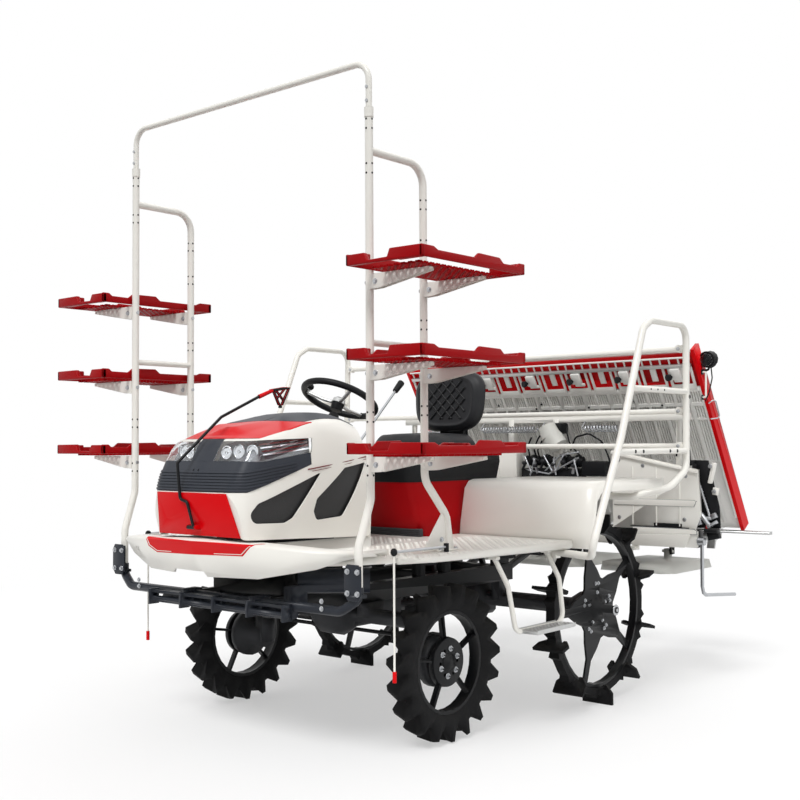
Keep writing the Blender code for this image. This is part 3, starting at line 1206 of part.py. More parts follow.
# Planting unit
def add_planter_frame():
    """Beam, uprights, tray rails, planting cases, covers and float hangers: what the links carry."""
    rear_y, low_z, high_z = link_ends()
    new_body("planter", (0.0, rear_y, low_z))
    y, z = BEAM_Y, BEAM_Z
    parts = [block((2.000, 0.070, 0.090), (0.0, y, z), 0.008)]
    for side in (1, -1):
        ear = [(rear_y - 0.034, low_z - 0.030), (y, low_z - 0.015), (y + 0.030, high_z + 0.035), (rear_y - 0.034, high_z + 0.035)]
        holes = [pin_hole(rear_y, low_z), pin_hole(rear_y, high_z)]
        parts.append(plate(ear, 0.010, "YZ", side * 0.150, holes))
        parts.append(bar((side * 0.150, y + 0.015, z), (side * 0.150, BAR_Y, BAR_Z), 0.036, 0.036))
        parts.append(tube([(side * 0.880, y, z), (side * 0.880, y + 0.010, 1.000), (side * 0.880, BAR_Y, BAR_Z)], 0.016, 0.08))
    parts.append(bar((-0.940, BAR_Y, BAR_Z), (0.940, BAR_Y, BAR_Z), 0.034, 0.034))
    parts.append(block((0.300, 0.030, 0.030), (0.0, y + 0.015, high_z + 0.015)))
    # upper tray rail, on brackets off the bar
    touch = -TRAY_RIB - RUNNING_GAP
    parts.append(slope_box(-0.800, 0.800, 0.330, 0.370, touch - 0.014, touch))
    rail_y, rail_z = slope_point(0.350, touch - 0.010)
    for side in (1, -1):
        parts.append(bar((side * 0.700, BAR_Y, BAR_Z), (side * 0.700, rail_y, rail_z - 0.004), 0.040, 0.016))
    # lower tray rail, under the tray's foot, on the cases
    foot_y, foot_z = slope_point(TRAY_LONG + 0.004, -0.014)
    rail_top = foot_z - RUNNING_GAP
    parts.append(block((2 * RAIL_OUT_X, 0.036, 0.016), (0.0, foot_y - 0.004, rail_top - 0.008)))
    for x in CASE_X:
        case = [(y + 0.020, 0.700), (1.900, 0.665), (ROTOR_Y - 0.020, ROTOR_Z - 0.040)]
        case += arc((ROTOR_Y, ROTOR_Z), 0.040, -60, 90, 5)
        case += [(2.235, 0.752), (2.205, rail_top - 0.010), (2.140, rail_top - 0.010), (2.080, 0.762), (y + 0.020, 0.786)]
        hole = arc((ROTOR_Y, ROTOR_Z), 0.014 + RUNNING_GAP, 360, 30, 11)
        parts.append(plate(case, 0.068, "YZ", x, [hole]))
        # plates that hold the float's pin, and the tongue its nose hangs on
        hang = [
            (FLOAT_PIN_Y - 0.020, FLOAT_PIN_Z - 0.016), (FLOAT_PIN_Y + 0.020, FLOAT_PIN_Z - 0.016),
            (FLOAT_PIN_Y + 0.024, 0.700), (FLOAT_PIN_Y - 0.024, 0.700),
        ]
        hole = arc((FLOAT_PIN_Y, FLOAT_PIN_Z), HINGE_HOLE_R, 360, 22.5, 15)
        parts.append(plate(hang, 0.010, "YZ", x + 0.025, [hole]))
        # the tongue stands off the beam's front face and turns forward under the hook
        tongue_y = FLOAT_HOOK_Y + 0.048
        lip_z = FLOAT_HOOK_Z - RUNNING_GAP - 0.005
        parts.append(block((0.036, 0.014, 0.081), (x + FLOAT_HOOK_X, tongue_y, lip_z + 0.0355)))
        parts.append(block((0.036, 0.034, 0.010), (x + FLOAT_HOOK_X, tongue_y - 0.020, lip_z)))
    # white covers over the drive at the front
    for side in (1, -1):
        outline = [(0.517, 1.190), (1.006, 1.092), (1.018, 0.868), (0.962, 0.740), (0.523, 0.787)]
        parts.append(plate([(side * u, v) for u, v in outline], 0.016, "XZ", y - 0.028))
    finish(fuse(parts), "planter_frame", "planter", "white_paint")


def add_rotors():
    """A shaft through each planting case with a turning case and two claws at both ends."""
    for x, name in zip(CASE_X, ("right", "centre", "left")):
        new_body("rotor_" + name, (x, ROTOR_Y, ROTOR_Z))
        parts = [rod((x - 0.090, ROTOR_Y, ROTOR_Z), (x + 0.090, ROTOR_Y, ROTOR_Z), 0.014, 12)]
        spin = math.radians(35)
        for side in (1, -1):
            ends = []
            for end in (1, -1):
                ends.append((ROTOR_Y + end * math.cos(spin) * 0.052, ROTOR_Z + end * math.sin(spin) * 0.052))
            outline = arc(ends[0], 0.034, 35 - 90, 35 + 90, 5) + arc(ends[1], 0.034, 35 + 90, 35 + 270, 5)
            parts.append(plate(outline, 0.050, "YZ", x + side * 0.080))
            for u, v in ends:
                arm = [(u - 0.034, v - 0.030), (u - 0.046, v - 0.072), (u - 0.036, v - 0.074), (u - 0.018, v - 0.028), (u + 0.034, v - 0.018), (u + 0.036, v + 0.012), (u - 0.016, v + 0.026), (u - 0.034, v + 0.010)]
                parts.append(plate(arm, 0.046, "YZ", x + side * 0.127))
        finish(fuse(parts), "rotor_" + name, "rotor_" + name, "aluminium")


def add_floats():
    for x, wide, name in zip(CASE_X, (0.400, 0.500, 0.400), ("right", "centre", "left")):
        new_body("float_" + name, (x, FLOAT_PIN_Y, FLOAT_PIN_Z))
        nose = FLOAT_HOOK_Y - 0.016
        half = wide / 2
        low = FLOAT_LOW_Z
        sections = []
        # columns: y, share of the half width, height of the bottom, height of the top
        for y, share, under, over in ((nose, 0.40, 0.044, 0.056), (nose + 0.10, 0.88, 0.008, 0.056), (nose + 0.22, 1.0, 0.0, 0.052), (2.140, 1.0, 0.0, 0.044)):
            w = half * share
            sections.append([(x - w, y, low + under), (x + w, y, low + under), (x + w * 0.93, y, low + over), (x - w * 0.93, y, low + over)])
        parts = [loft(sections)]
        parts.append(block((0.030, 0.036, FLOAT_PIN_Z + 0.014 - low - 0.02), (x, FLOAT_PIN_Y, (FLOAT_PIN_Z + 0.014 + low + 0.02) / 2)))
        parts.append(rod((x - 0.032, FLOAT_PIN_Y, FLOAT_PIN_Z), (x + 0.032, FLOAT_PIN_Y, FLOAT_PIN_Z), HINGE_PIN_R, 8))
        # the hook that hangs the float's nose on the tongue
        hook_x, hook_top = x + FLOAT_HOOK_X, FLOAT_HOOK_Z + 0.010
        root_z = low + 0.048
        parts.append(block((0.020, 0.008, hook_top - root_z), (hook_x, FLOAT_HOOK_Y, (hook_top + root_z) / 2)))
        parts.append(block((0.020, 0.024, 0.010), (hook_x, FLOAT_HOOK_Y + 0.008, hook_top - 0.005)))
        finish(fuse(parts), "float_" + name, "float_" + name, "float_plastic")


def add_stands():
    for side, name in ((1, "left"), (-1, "right")):
        x = side * STAND_X
        new_body("stand_" + name, (x, STAND_Y, STAND_PIN_Z))
        leg = [(x, STAND_Y, STAND_PIN_Z), (x, STAND_Y - 0.005, 0.470), (x, STAND_Y + 0.370, 0.436)]
        eye = rod((side * (1.0 + RUNNING_GAP), STAND_Y, STAND_PIN_Z), (side * 1.036, STAND_Y, STAND_PIN_Z), 0.020, 10)
        finish(fuse([tube(leg, 0.010, 0.045, rings=1), eye]), "stand_" + name, "stand_" + name, "steel")


def main():
    new_body("chassis")
    add_wheels()
    add_frame()
    add_drive_line()
    add_knuckles()
    add_deck()
    add_apron()
    add_fenders()
    add_bonnet()
    add_steering_wheel()
    add_seat()
    add_racks()
    add_shelves()
    add_rack_carrier()
    add_guard_rails()
    add_steps()
    add_markers()
    add_lift()
    add_tray()
    add_planter_frame()
    add_rotors()
    add_floats()
    add_stands()


main()
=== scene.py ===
# %% [markdown]
# # A ride-on rice transplanter
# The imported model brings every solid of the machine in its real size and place. This lesson
# gives those solids their finishes and adds the fine pieces that a maker would see first:
# smooth bent tubes, moulded trays, lamp glass, a sewn seat, springs, hoses and treads.
# Lengths are metres. +X is the driver's left, the machine faces -Y and +Z is up.

# %% Load the frame
import json
import math

import bmesh
import bpy
from mathutils import Matrix, Vector
from mathutils.bvhtree import BVHTree

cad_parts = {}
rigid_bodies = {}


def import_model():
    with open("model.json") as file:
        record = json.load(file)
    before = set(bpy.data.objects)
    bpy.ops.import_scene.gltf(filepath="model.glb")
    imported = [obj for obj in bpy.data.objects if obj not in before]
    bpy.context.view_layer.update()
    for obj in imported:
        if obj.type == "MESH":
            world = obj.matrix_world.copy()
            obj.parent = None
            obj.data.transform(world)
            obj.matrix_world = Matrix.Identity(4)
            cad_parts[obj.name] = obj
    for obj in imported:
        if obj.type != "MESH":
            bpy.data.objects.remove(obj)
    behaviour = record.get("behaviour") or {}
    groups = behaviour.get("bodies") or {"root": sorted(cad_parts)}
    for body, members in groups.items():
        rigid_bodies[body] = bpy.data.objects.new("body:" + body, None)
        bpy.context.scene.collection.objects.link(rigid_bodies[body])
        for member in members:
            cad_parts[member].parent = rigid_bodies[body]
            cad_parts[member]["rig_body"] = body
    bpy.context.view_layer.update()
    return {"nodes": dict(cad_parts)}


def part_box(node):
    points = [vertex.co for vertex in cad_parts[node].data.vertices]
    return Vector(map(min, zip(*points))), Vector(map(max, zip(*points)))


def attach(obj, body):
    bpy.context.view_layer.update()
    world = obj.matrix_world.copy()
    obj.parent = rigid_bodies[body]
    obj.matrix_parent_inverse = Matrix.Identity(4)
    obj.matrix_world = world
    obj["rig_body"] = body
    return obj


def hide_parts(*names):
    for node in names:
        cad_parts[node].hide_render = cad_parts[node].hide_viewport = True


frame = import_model()
NODES = frame["nodes"]
scene = bpy.context.scene

# %% [markdown]
# Every place below is written from the front axle, because a drawing of this machine is
# dimensioned from there. The axle's own y is read from the front wheel, and one helper
# moves a point from the drawing into the frame.

# %% Places
low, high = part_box("wheel_front_left")
AXLE_Y = (low.y + high.y) / 2


def at(x, y, z):
    """A point of the drawing, in the frame."""
    return Vector((x, y + AXLE_Y, z))


print("front axle at y", round(AXLE_Y, 4))

# %% [markdown]
# The photograph was taken at eye height, about five metres off the machine's front left
# corner. Yaw, pitch and roll come from the lines of the walkway, the racks and the beam.

# %% Camera
CAMERA_PLACE = at(3.57501, -3.73458, 1.22806)
YAW, PITCH, ROLL = 0.706909, 0.03885, -0.005493
LENS_MM, SENSOR_MM = 51.146, 36.0

ahead = Vector((-math.sin(YAW) * math.cos(PITCH), math.cos(YAW) * math.cos(PITCH), math.sin(PITCH)))
right = Vector((math.cos(YAW), math.sin(YAW), 0.0))
up = right.cross(ahead)
right_rolled = right * math.cos(ROLL) + up * math.sin(ROLL)
up_rolled = up * math.cos(ROLL) - right * math.sin(ROLL)
camera_data = bpy.data.cameras.new("camera")
camera_data.lens = LENS_MM
camera_data.sensor_width = SENSOR_MM
camera_data.clip_end = 200.0
camera = bpy.data.objects.new("camera", camera_data)
scene.collection.objects.link(camera)
columns = Matrix((right_rolled, up_rolled, -ahead)).transposed().to_4x4()
camera.matrix_world = Matrix.Translation(CAMERA_PLACE) @ columns
scene.camera = camera
print("camera stands", round(CAMERA_PLACE.z, 2), "m above the floor, lens", LENS_MM, "mm")

# %% [markdown]
# A node tree is easier to read when each node is made, set and wired in one line. `put` makes
# a shader node and takes either numbers or other sockets for its inputs. `calc` is the Math
# node, which most masks are made of.

# %% Node helpers


def put(tree, kind, inputs=None, **settings):
    """One shader node, with its inputs set to numbers or wired to sockets."""
    node = tree.nodes.new("ShaderNode" + kind)
    for key, value in settings.items():
        setattr(node, key, value)
    for key, value in (inputs or {}).items():
        if isinstance(value, bpy.types.NodeSocket):
            tree.links.new(value, node.inputs[key])
        else:
            node.inputs[key].default_value = value
    return node


def calc(tree, operation, *values, clamp=False):
    """The output of a Math node."""
    places = dict(enumerate(values))
    return put(tree, "Math", places, operation=operation, use_clamp=clamp).outputs[0]


def blend_colour(tree, amount, first, second):
    """A mix of two colours, from the first to the second."""
    places = {"Factor": amount, 6: first, 7: second}
    return put(tree, "Mix", places, data_type="RGBA").outputs[2]


def own_place(tree):
    """Object coordinates: metres on the machine, so a pattern stays with its piece."""
    return put(tree, "TexCoord").outputs["Object"]


# %% [markdown]
# The studio is a pale floor under an even sky. A real studio uses a white sweep; here the
# floor turns into plain white a few metres away, so no horizon shows. Near the machine it
# keeps the shadow, lifted a little for the camera.

# %% Floor
FLOOR_HALF = 40.0
FLOOR_GREY = 0.93
CLEAR_FROM, CLEAR_TO = 2.6, 5.5
SHADOW_LIFT = 0.45

bm = bmesh.new()
bmesh.ops.create_grid(bm, x_segments=1, y_segments=1, size=FLOOR_HALF)
floor_mesh = bpy.data.meshes.new("floor")
bm.to_mesh(floor_mesh)
bm.free()
floor = bpy.data.objects.new("floor", floor_mesh)
scene.collection.objects.link(floor)


def seen_directly(tree):
    """1 for camera, glossy and transmission rays, which show the white background."""
    path = put(tree, "LightPath").outputs
    near = calc(tree, "ADD", path["Is Camera Ray"], path["Is Glossy Ray"])
    return calc(tree, "ADD", near, path["Is Transmission Ray"], clamp=True)


material = bpy.data.materials.new("floor_paper")
material.use_nodes = True
tree = material.node_tree
tree.nodes.clear()
paper = put(tree, "BsdfDiffuse", {"Color": (FLOOR_GREY, FLOOR_GREY, FLOOR_GREY, 1)})
white = put(tree, "Emission", {"Color": (1, 1, 1, 1), "Strength": seen_directly(tree)})
reach = put(tree, "VectorMath", {0: own_place(tree)}, operation="LENGTH").outputs["Value"]
spread = put(tree, "MapRange", {"Value": reach, "From Min": CLEAR_FROM, "From Max": CLEAR_TO},
             interpolation_type="SMOOTHSTEP")
lifted = calc(tree, "MAXIMUM", spread.outputs[0], calc(tree, "MULTIPLY", seen_directly(tree), SHADOW_LIFT))
mixed = put(tree, "MixShader", {0: lifted, 1: paper.outputs[0], 2: white.outputs[0]})
put(tree, "OutputMaterial", {"Surface": mixed.outputs[0]})
floor_mesh.materials.append(material)
print("floor clears to white from", CLEAR_FROM, "to", CLEAR_TO, "m")

# %% [markdown]
# The sky and the lamps come next. The key stands almost straight before the machine, so that
# the faces that look forward are bright and the left side is a step darker; a wide fill and a
# faint lamp behind keep the dark side open. The sky shows as plain white to the camera.

# %% Sky and lamps
SKY_LEVEL = 0.54
LAMPS = (
    # name, strength, width in degrees, elevation, azimuth from -Y towards +X
    ("key", 1.82, 20, 50, 14),
    ("fill", 0.62, 60, 32, 88),
    ("back", 0.45, 50, 40, 185),
)

world = bpy.data.worlds.new("studio")
scene.world = world
world.use_nodes = True
tree = world.node_tree
tree.nodes.clear()
level = calc(tree, "MULTIPLY_ADD", seen_directly(tree), 1.0 - SKY_LEVEL, SKY_LEVEL)
sky = put(tree, "Background", {"Color": (1, 1, 1, 1), "Strength": level})
put(tree, "OutputWorld", {"Surface": sky.outputs[0]})

for name, strength, width, elevation, azimuth in LAMPS:
    lamp_data = bpy.data.lights.new(name, "SUN")
    lamp_data.energy = strength
    lamp_data.angle = math.radians(width)
    lamp = bpy.data.objects.new(name, lamp_data)
    lamp.rotation_euler = (math.radians(90 - elevation), 0, math.radians(azimuth))
    scene.collection.objects.link(lamp)

scene.view_settings.view_transform = "Standard"
print("lamps:", ", ".join(row[0] for row in LAMPS))

# %% [markdown]
# Painted metal, moulded plastic and rubber differ in colour and gloss, but share three
# effects. Their edges are slightly rounded and catch light, and paint is thinner there. Their
# skin has a fine grain. Dust lies on what faces up. Each effect is one node group with
# named sockets, so every finish sets its own amounts.

# %% Shared effects


def new_group(name, inputs, outputs):
    """An empty node group with named sockets, and its two ends."""
    group = bpy.data.node_groups.new(name, "ShaderNodeTree")
    for label, kind in inputs:
        group.interface.new_socket(label, in_out="INPUT", socket_type="NodeSocket" + kind)
    for label, kind in outputs:
        group.interface.new_socket(label, in_out="OUTPUT", socket_type="NodeSocket" + kind)
    start = group.nodes.new("NodeGroupInput")
    end = group.nodes.new("NodeGroupOutput")
    return group, start.outputs, end.inputs


def wire(group, value, socket):
    """Link one socket to another."""
    group.links.new(value, socket)


# Rounded edges: the Bevel node looks round a corner, and where its normal leaves the face's
# own normal, the paint is worn.
edges, given, made = new_group(
    "rounded_edges", (("Radius", "Float"), ("Amount", "Float"), ("Scale", "Float")),
    (("Normal", "Vector"), ("Worn", "Float")))
bevel = put(edges, "Bevel", {"Radius": given["Radius"]}, samples=4)
flat = put(edges, "NewGeometry").outputs["Normal"]
turn = put(edges, "VectorMath", {0: bevel.outputs[0], 1: flat}, operation="DOT_PRODUCT")
bent = calc(edges, "SUBTRACT", 1.0, turn.outputs["Value"], clamp=True)
patch = put(edges, "TexNoise", {"Vector": own_place(edges), "Scale": given["Scale"], "Detail": 4.0})
ragged = calc(edges, "MULTIPLY", calc(edges, "MULTIPLY", bent, 5.0), patch.outputs["Fac"])
worn = calc(edges, "SUBTRACT", ragged, 0.35, clamp=True)
wire(edges, bevel.outputs[0], made["Normal"])
wire(edges, calc(edges, "MULTIPLY", worn, given["Amount"], clamp=True), made["Worn"])

# Grain: a fine noise for the bump, and a slow one that varies colour and gloss.
grain, given, made = new_group(
    "skin_grain", (("Scale", "Float"), ("Spread", "Float")),
    (("Height", "Float"), ("Shade", "Float")))
fine = put(grain, "TexNoise", {"Vector": own_place(grain), "Scale": given["Scale"], "Detail": 3.0})
broad = put(grain, "TexNoise", {"Vector": own_place(grain), "Scale": 3.5, "Detail": 5.0})
swing = calc(grain, "MULTIPLY", calc(grain, "SUBTRACT", broad.outputs["Fac"], 0.5), given["Spread"])
wire(grain, fine.outputs["Fac"], made["Height"])
wire(grain, calc(grain, "ADD", swing, 1.0), made["Shade"])

# Dust: more of it on faces that look up, broken up by noise.
dust, given, made = new_group(
    "dust", (("Amount", "Float"), ("Scale", "Float")), (("Cover", "Float"),))
upward = put(dust, "SeparateXYZ", {0: put(dust, "NewGeometry").outputs["Normal"]}).outputs["Z"]
settled = put(dust, "MapRange", {"Value": upward, "From Min": 0.2, "From Max": 1.0}).outputs[0]
specks = put(dust, "TexNoise", {"Vector": own_place(dust), "Scale": given["Scale"], "Detail": 8.0})
speckled = put(dust, "MapRange", {"Value": specks.outputs["Fac"], "From Min": 0.42, "From Max": 0.72})
cover = calc(dust, "MULTIPLY", settled, speckled.outputs[0])
wire(dust, calc(dust, "MULTIPLY", cover, given["Amount"], clamp=True), made["Cover"])
print("node groups:", ", ".join(group.name for group in bpy.data.node_groups))

# %% [markdown]
# A finish is a Principled surface fed by those groups. The numbers that are the same all over
# stay on the shader's own sockets. Colours are written as they look in daylight and
# turned into the linear values that Blender works in.

# %% Finishes
FINISH = {}
DUST_COLOUR = (0.46, 0.42, 0.35, 1)


def daylight(red, green, blue):
    """A colour from its 0 to 255 values, made linear."""
    parts = (red / 255, green / 255, blue / 255)
    linear = (p / 12.92 if p <= 0.04045 else ((p + 0.055) / 1.055) ** 2.4 for p in parts)
    return (*linear, 1.0)


def base_material(name):
    """A material with only a Principled shader on its output."""
    made = bpy.data.materials.new(name)
    made.use_nodes = True
    tree = made.node_tree
    tree.nodes.clear()
    shader = put(tree, "BsdfPrincipled")
    put(tree, "OutputMaterial", {"Surface": shader.outputs[0]})
    FINISH[name] = made
    return made, tree, shader.inputs


def group_node(tree, group, **values):
    """Add a node group to a material and wire its inputs by name."""
    node = tree.nodes.new("ShaderNodeGroup")
    node.node_tree = group
    for label, value in values.items():
        node.inputs[label].default_value = value
    return node.outputs


def finish(name, colour, gloss, metal=0.0, coat=0.0, spread=0.10, grain_scale=600.0,
           bump=0.05, radius=0.0015, wear=0.25, worn_colour=(0.5, 0.5, 0.5, 1), dusty=0.06, shine=0.5):
    """A plain finish: colour, roughness, metal and coat, with the shared effects."""
    made, tree, sockets = base_material(name)
    skin = group_node(tree, grain, Scale=grain_scale, Spread=spread)
    corner = group_node(tree, edges, Radius=radius, Amount=wear, Scale=45.0)
    film = group_node(tree, dust, Amount=dusty, Scale=18.0)
    shade = put(tree, "CombineXYZ", {0: skin["Shade"], 1: skin["Shade"], 2: skin["Shade"]})
    varied = put(tree, "Mix", {"Factor": 1.0, 6: colour, 7: shade.outputs[0]},
                 data_type="RGBA", blend_type="MULTIPLY").outputs[2]
    rubbed = blend_colour(tree, corner["Worn"], varied, worn_colour)
    dusted = blend_colour(tree, film["Cover"], rubbed, DUST_COLOUR)
    tree.links.new(dusted, sockets["Base Color"])
    rough = calc(tree, "MULTIPLY_ADD", calc(tree, "SUBTRACT", skin["Shade"], 1.0), 0.8, gloss)
    tree.links.new(calc(tree, "MULTIPLY_ADD", film["Cover"], 0.4, rough, clamp=True),
                   sockets["Roughness"])
    raised = put(tree, "Bump", {"Height": skin["Height"], "Strength": bump, "Distance": 0.001,
                                "Normal": corner["Normal"]})
    tree.links.new(raised.outputs[0], sockets["Normal"])
    sockets["Metallic"].default_value = metal
    sockets["Coat Weight"].default_value = coat
    sockets["Coat Roughness"].default_value = 0.08
    sockets["Specular IOR Level"].default_value = shine
    return made


finish("white_enamel", daylight(240, 238, 231), 0.32, coat=0.15, spread=0.04, grain_scale=300, shine=0.4,
       wear=0.10, worn_colour=(0.62, 0.61, 0.58, 1), dusty=0.05)
finish("red_enamel", daylight(216, 2, 12), 0.32, spread=0.07, grain_scale=300, shine=0.14,
       wear=0.10, worn_colour=(0.70, 0.03, 0.03, 1), dusty=0.0)
finish("red_moulded", daylight(158, 2, 9), 0.42, spread=0.12, grain_scale=700, shine=0.12,
       bump=0.10, wear=0.20, worn_colour=(0.46, 0.02, 0.02, 1), dusty=0.0)
finish("dark_red_trim", daylight(112, 8, 14), 0.40, spread=0.06, wear=0.0, shine=0.2)
finish("tyre_rubber", daylight(20, 20, 21), 0.66, spread=0.25, grain_scale=900, bump=0.25, shine=0.14,
       wear=0.30, worn_colour=(0.036, 0.034, 0.032, 1), dusty=0.04)
finish("black_enamel", daylight(17, 18, 20), 0.36, spread=0.14, grain_scale=300, shine=0.20,
       wear=0.22, worn_colour=(0.05, 0.05, 0.05, 1), dusty=0.02)
finish("carrier_blue_black", daylight(33, 37, 45), 0.36, spread=0.12, grain_scale=300, shine=0.25,
       wear=0.22, worn_colour=(0.07, 0.075, 0.09, 1), dusty=0.03)
finish("black_moulded", daylight(22, 23, 25), 0.48, spread=0.14, grain_scale=1100, bump=0.18, shine=0.18,
       wear=0.20, worn_colour=(0.04, 0.04, 0.045, 1), dusty=0.03)
finish("graphite_moulded", daylight(50, 54, 62), 0.46, spread=0.08, grain_scale=1000, bump=0.14, shine=0.25,
       wear=0.15, worn_colour=(0.085, 0.09, 0.10, 1), dusty=0.03)
finish("seat_vinyl", daylight(27, 28, 31), 0.50, spread=0.12, grain_scale=420, bump=0.35, shine=0.3,
       wear=0.12, worn_colour=(0.05, 0.05, 0.055, 1), dusty=0.05)
finish("dark_casting", daylight(40, 41, 44), 0.54, metal=0.35, spread=0.22, grain_scale=380, shine=0.4,
       bump=0.30, wear=0.35, worn_colour=(0.13, 0.13, 0.13, 1), dusty=0.08)
finish("zinc_steel", daylight(182, 184, 187), 0.30, metal=0.9, spread=0.16, grain_scale=900,
       wear=0.15, worn_colour=(0.72, 0.72, 0.72, 1), dusty=0.04)
finish("mill_aluminium", daylight(196, 197, 196), 0.34, metal=0.75, spread=0.12,
       grain_scale=1500, wear=0.15, worn_colour=(0.80, 0.80, 0.80, 1), dusty=0.04)
finish("pale_moulded", daylight(206, 206, 200), 0.50, spread=0.08, grain_scale=700, bump=0.12, shine=0.35,
       wear=0.10, worn_colour=(0.48, 0.48, 0.46, 1), dusty=0.08)
finish("tray_white", daylight(236, 235, 231), 0.42, spread=0.05, grain_scale=700, bump=0.06, shine=0.35,
       wear=0.05, worn_colour=(0.6, 0.6, 0.6, 1), dusty=0.04)
finish("lip_grey", daylight(120, 122, 124), 0.42, spread=0.08, wear=0.10)
finish("grip_pad", daylight(58, 58, 60), 0.70, spread=0.20, grain_scale=700, bump=0.4, shine=0.3,
       wear=0.10, worn_colour=(0.1, 0.1, 0.1, 1), dusty=0.12)
print(len(FINISH), "finishes")

# %% [markdown]
# Each piece starts as a bmesh and ends as an object that rides on the body it is fixed to. Its
# place is in its mesh, so the object itself stays at the origin. `show` does that last step
# for all of them, and marks as sharp only the edges that turn more than a given angle.

# %% Piece helpers
MADE = []


def show(name, bm, body, finishes, smooth=40.0, replaces=()):
    """Turns a bmesh into a piece on a body, with its finishes and smooth shading."""
    mesh = bpy.data.meshes.new(name)
    bm.to_mesh(mesh)
    bm.free()
    for entry in finishes:
        mesh.materials.append(FINISH[entry])
    mesh.shade_smooth()
    mesh.set_sharp_from_angle(angle=math.radians(smooth))
    piece = bpy.data.objects.new(name, mesh)
    scene.collection.objects.link(piece)
    if replaces:
        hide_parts(*replaces)
    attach(piece, body)
    MADE.append(name)
    return piece


def soft_edges(bm, rims, offset, segments=2):
    """Rounds these edges and returns the faces that this makes."""
    return bmesh.ops.bevel(bm, geom=rims, offset=offset, offset_type="OFFSET", affect="EDGES",
                           segments=segments, profile=0.5, material=-1)["faces"]


def paint_round(verts, paint):
    """Gives the faces at these corners one of the piece's finishes."""
    for face in {f for v in verts for f in v.link_faces}:
        face.material_index = paint


def add_block(bm, size, centre, edge=0.0, segments=2, turn=None, paint=0):
    """A box with rounded edges at a place of the drawing."""
    new = bmesh.ops.create_cube(bm, size=1.0)["verts"]
    bmesh.ops.scale(bm, vec=size, verts=new)
    if edge > 0.0:
        rims = list({e for v in new for e in v.link_edges})
        made = soft_edges(bm, rims, edge, segments)
        new = list({v for f in made for v in f.verts} | {v for v in new if v.is_valid})
    if turn is not None:
        bmesh.ops.transform(bm, matrix=turn.to_4x4(), verts=new)
    bmesh.ops.translate(bm, vec=at(*centre), verts=new)
    paint_round(new, paint)
    return new


def add_rod(bm, start, end, radius, sides=16, end_radius=None, paint=0, chamfer=0.0):
    """A round bar, or a cone, between two places of the drawing."""
    start, end = at(*start), at(*end)
    along = end - start
    second = radius if end_radius is None else end_radius
    new = bmesh.ops.create_cone(bm, cap_ends=True, segments=sides, radius1=radius,
                                radius2=second, depth=along.length)["verts"]
    if chamfer > 0.0:
        rims = [e for e in {e for v in new for e in v.link_edges}
                if all(len(f.verts) != 4 for f in e.link_faces)
                or any(len(f.verts) > 4 for f in e.link_faces)]
        made = soft_edges(bm, rims, chamfer)
        new = list({v for f in made for v in f.verts} | {v for v in new if v.is_valid})
    turn = along.to_track_quat("Z", "Y").to_matrix().to_4x4()
    bmesh.ops.transform(bm, matrix=Matrix.Translation((start + end) / 2) @ turn, verts=new)
    paint_round(new, paint)
    return new


def filleted(corners, bend, steps=7):
    """The path through the corners, each inner corner turned into an arc of this radius."""
    corners = [Vector(c) for c in corners]
    path = [corners[0]]
    for before, corner, after in zip(corners, corners[1:], corners[2:]):
        back, on = before - corner, after - corner
        half = back.angle(on) / 2
        if half > math.radians(89):
            path.append(corner)
            continue
        reach = min(bend / math.tan(half), back.length * 0.49, on.length * 0.49)
        radius = reach * math.tan(half)
        back.normalize()
        on.normalize()
        centre = corner + (back + on).normalized() * math.hypot(radius, reach)
        first, last = corner + back * reach - centre, corner + on * reach - centre
        first, last = first.normalized(), last.normalized()
        path += [centre + first.slerp(last, k / steps) * radius for k in range(steps + 1)]
    path.append(corners[-1])
    return path


def add_pipe(bm, corners, radius, bend=0.0, paint=0, rings=5, closed=False, steps=7):
    """A round tube along a path: a curve's bevel makes it, and its mesh joins the piece."""
    path = filleted(corners, bend, steps) if bend > 0.0 else [Vector(c) for c in corners]
    curve = bpy.data.curves.new("pipe", "CURVE")
    curve.dimensions = "3D"
    spline = curve.splines.new("POLY")
    spline.points.add(len(path) - 1)
    for point, place in zip(spline.points, path):
        point.co = (*at(*place), 1.0)
    spline.use_cyclic_u = closed
    curve.bevel_depth = radius
    curve.bevel_resolution = rings
    curve.use_fill_caps = not closed
    holder = bpy.data.objects.new("pipe", curve)
    scene.collection.objects.link(holder)
    bpy.context.view_layer.update()
    mesh = bpy.data.meshes.new_from_object(holder.evaluated_get(bpy.context.evaluated_depsgraph_get()))
    before = set(bm.faces)
    bm.from_mesh(mesh)
    new = [f for f in bm.faces if f not in before]
    bmesh.ops.remove_doubles(bm, verts=list({v for f in new for v in f.verts}), dist=1e-6)
    new = [f for f in bm.faces if f not in before]
    for face in new:
        face.material_index = paint
    bpy.data.objects.remove(holder)
    bpy.data.curves.remove(curve)
    bpy.data.meshes.remove(mesh)
    return new


def hex_bolt(bm, place, axis, across, high, paint=0):
    """A hexagon head on a washer, its face at `place`, standing out along `axis`."""
    axis = Vector(axis).normalized()
    place = Vector(place)
    add_rod(bm, place, place + axis * high * 0.2, across * 0.85, 16, paint=paint)
    add_rod(bm, place + axis * high * 0.2, place + axis * high, across / 2 * 1.15, 6, paint=paint)


# %% [markdown]
# Most solids already have their shape. A merged copy of such a solid takes smooth shading
# over its curves, and a different finish on each of its parts, chosen by where a face
# lies. The copy stands for the solid.

# %% Dressing the solids


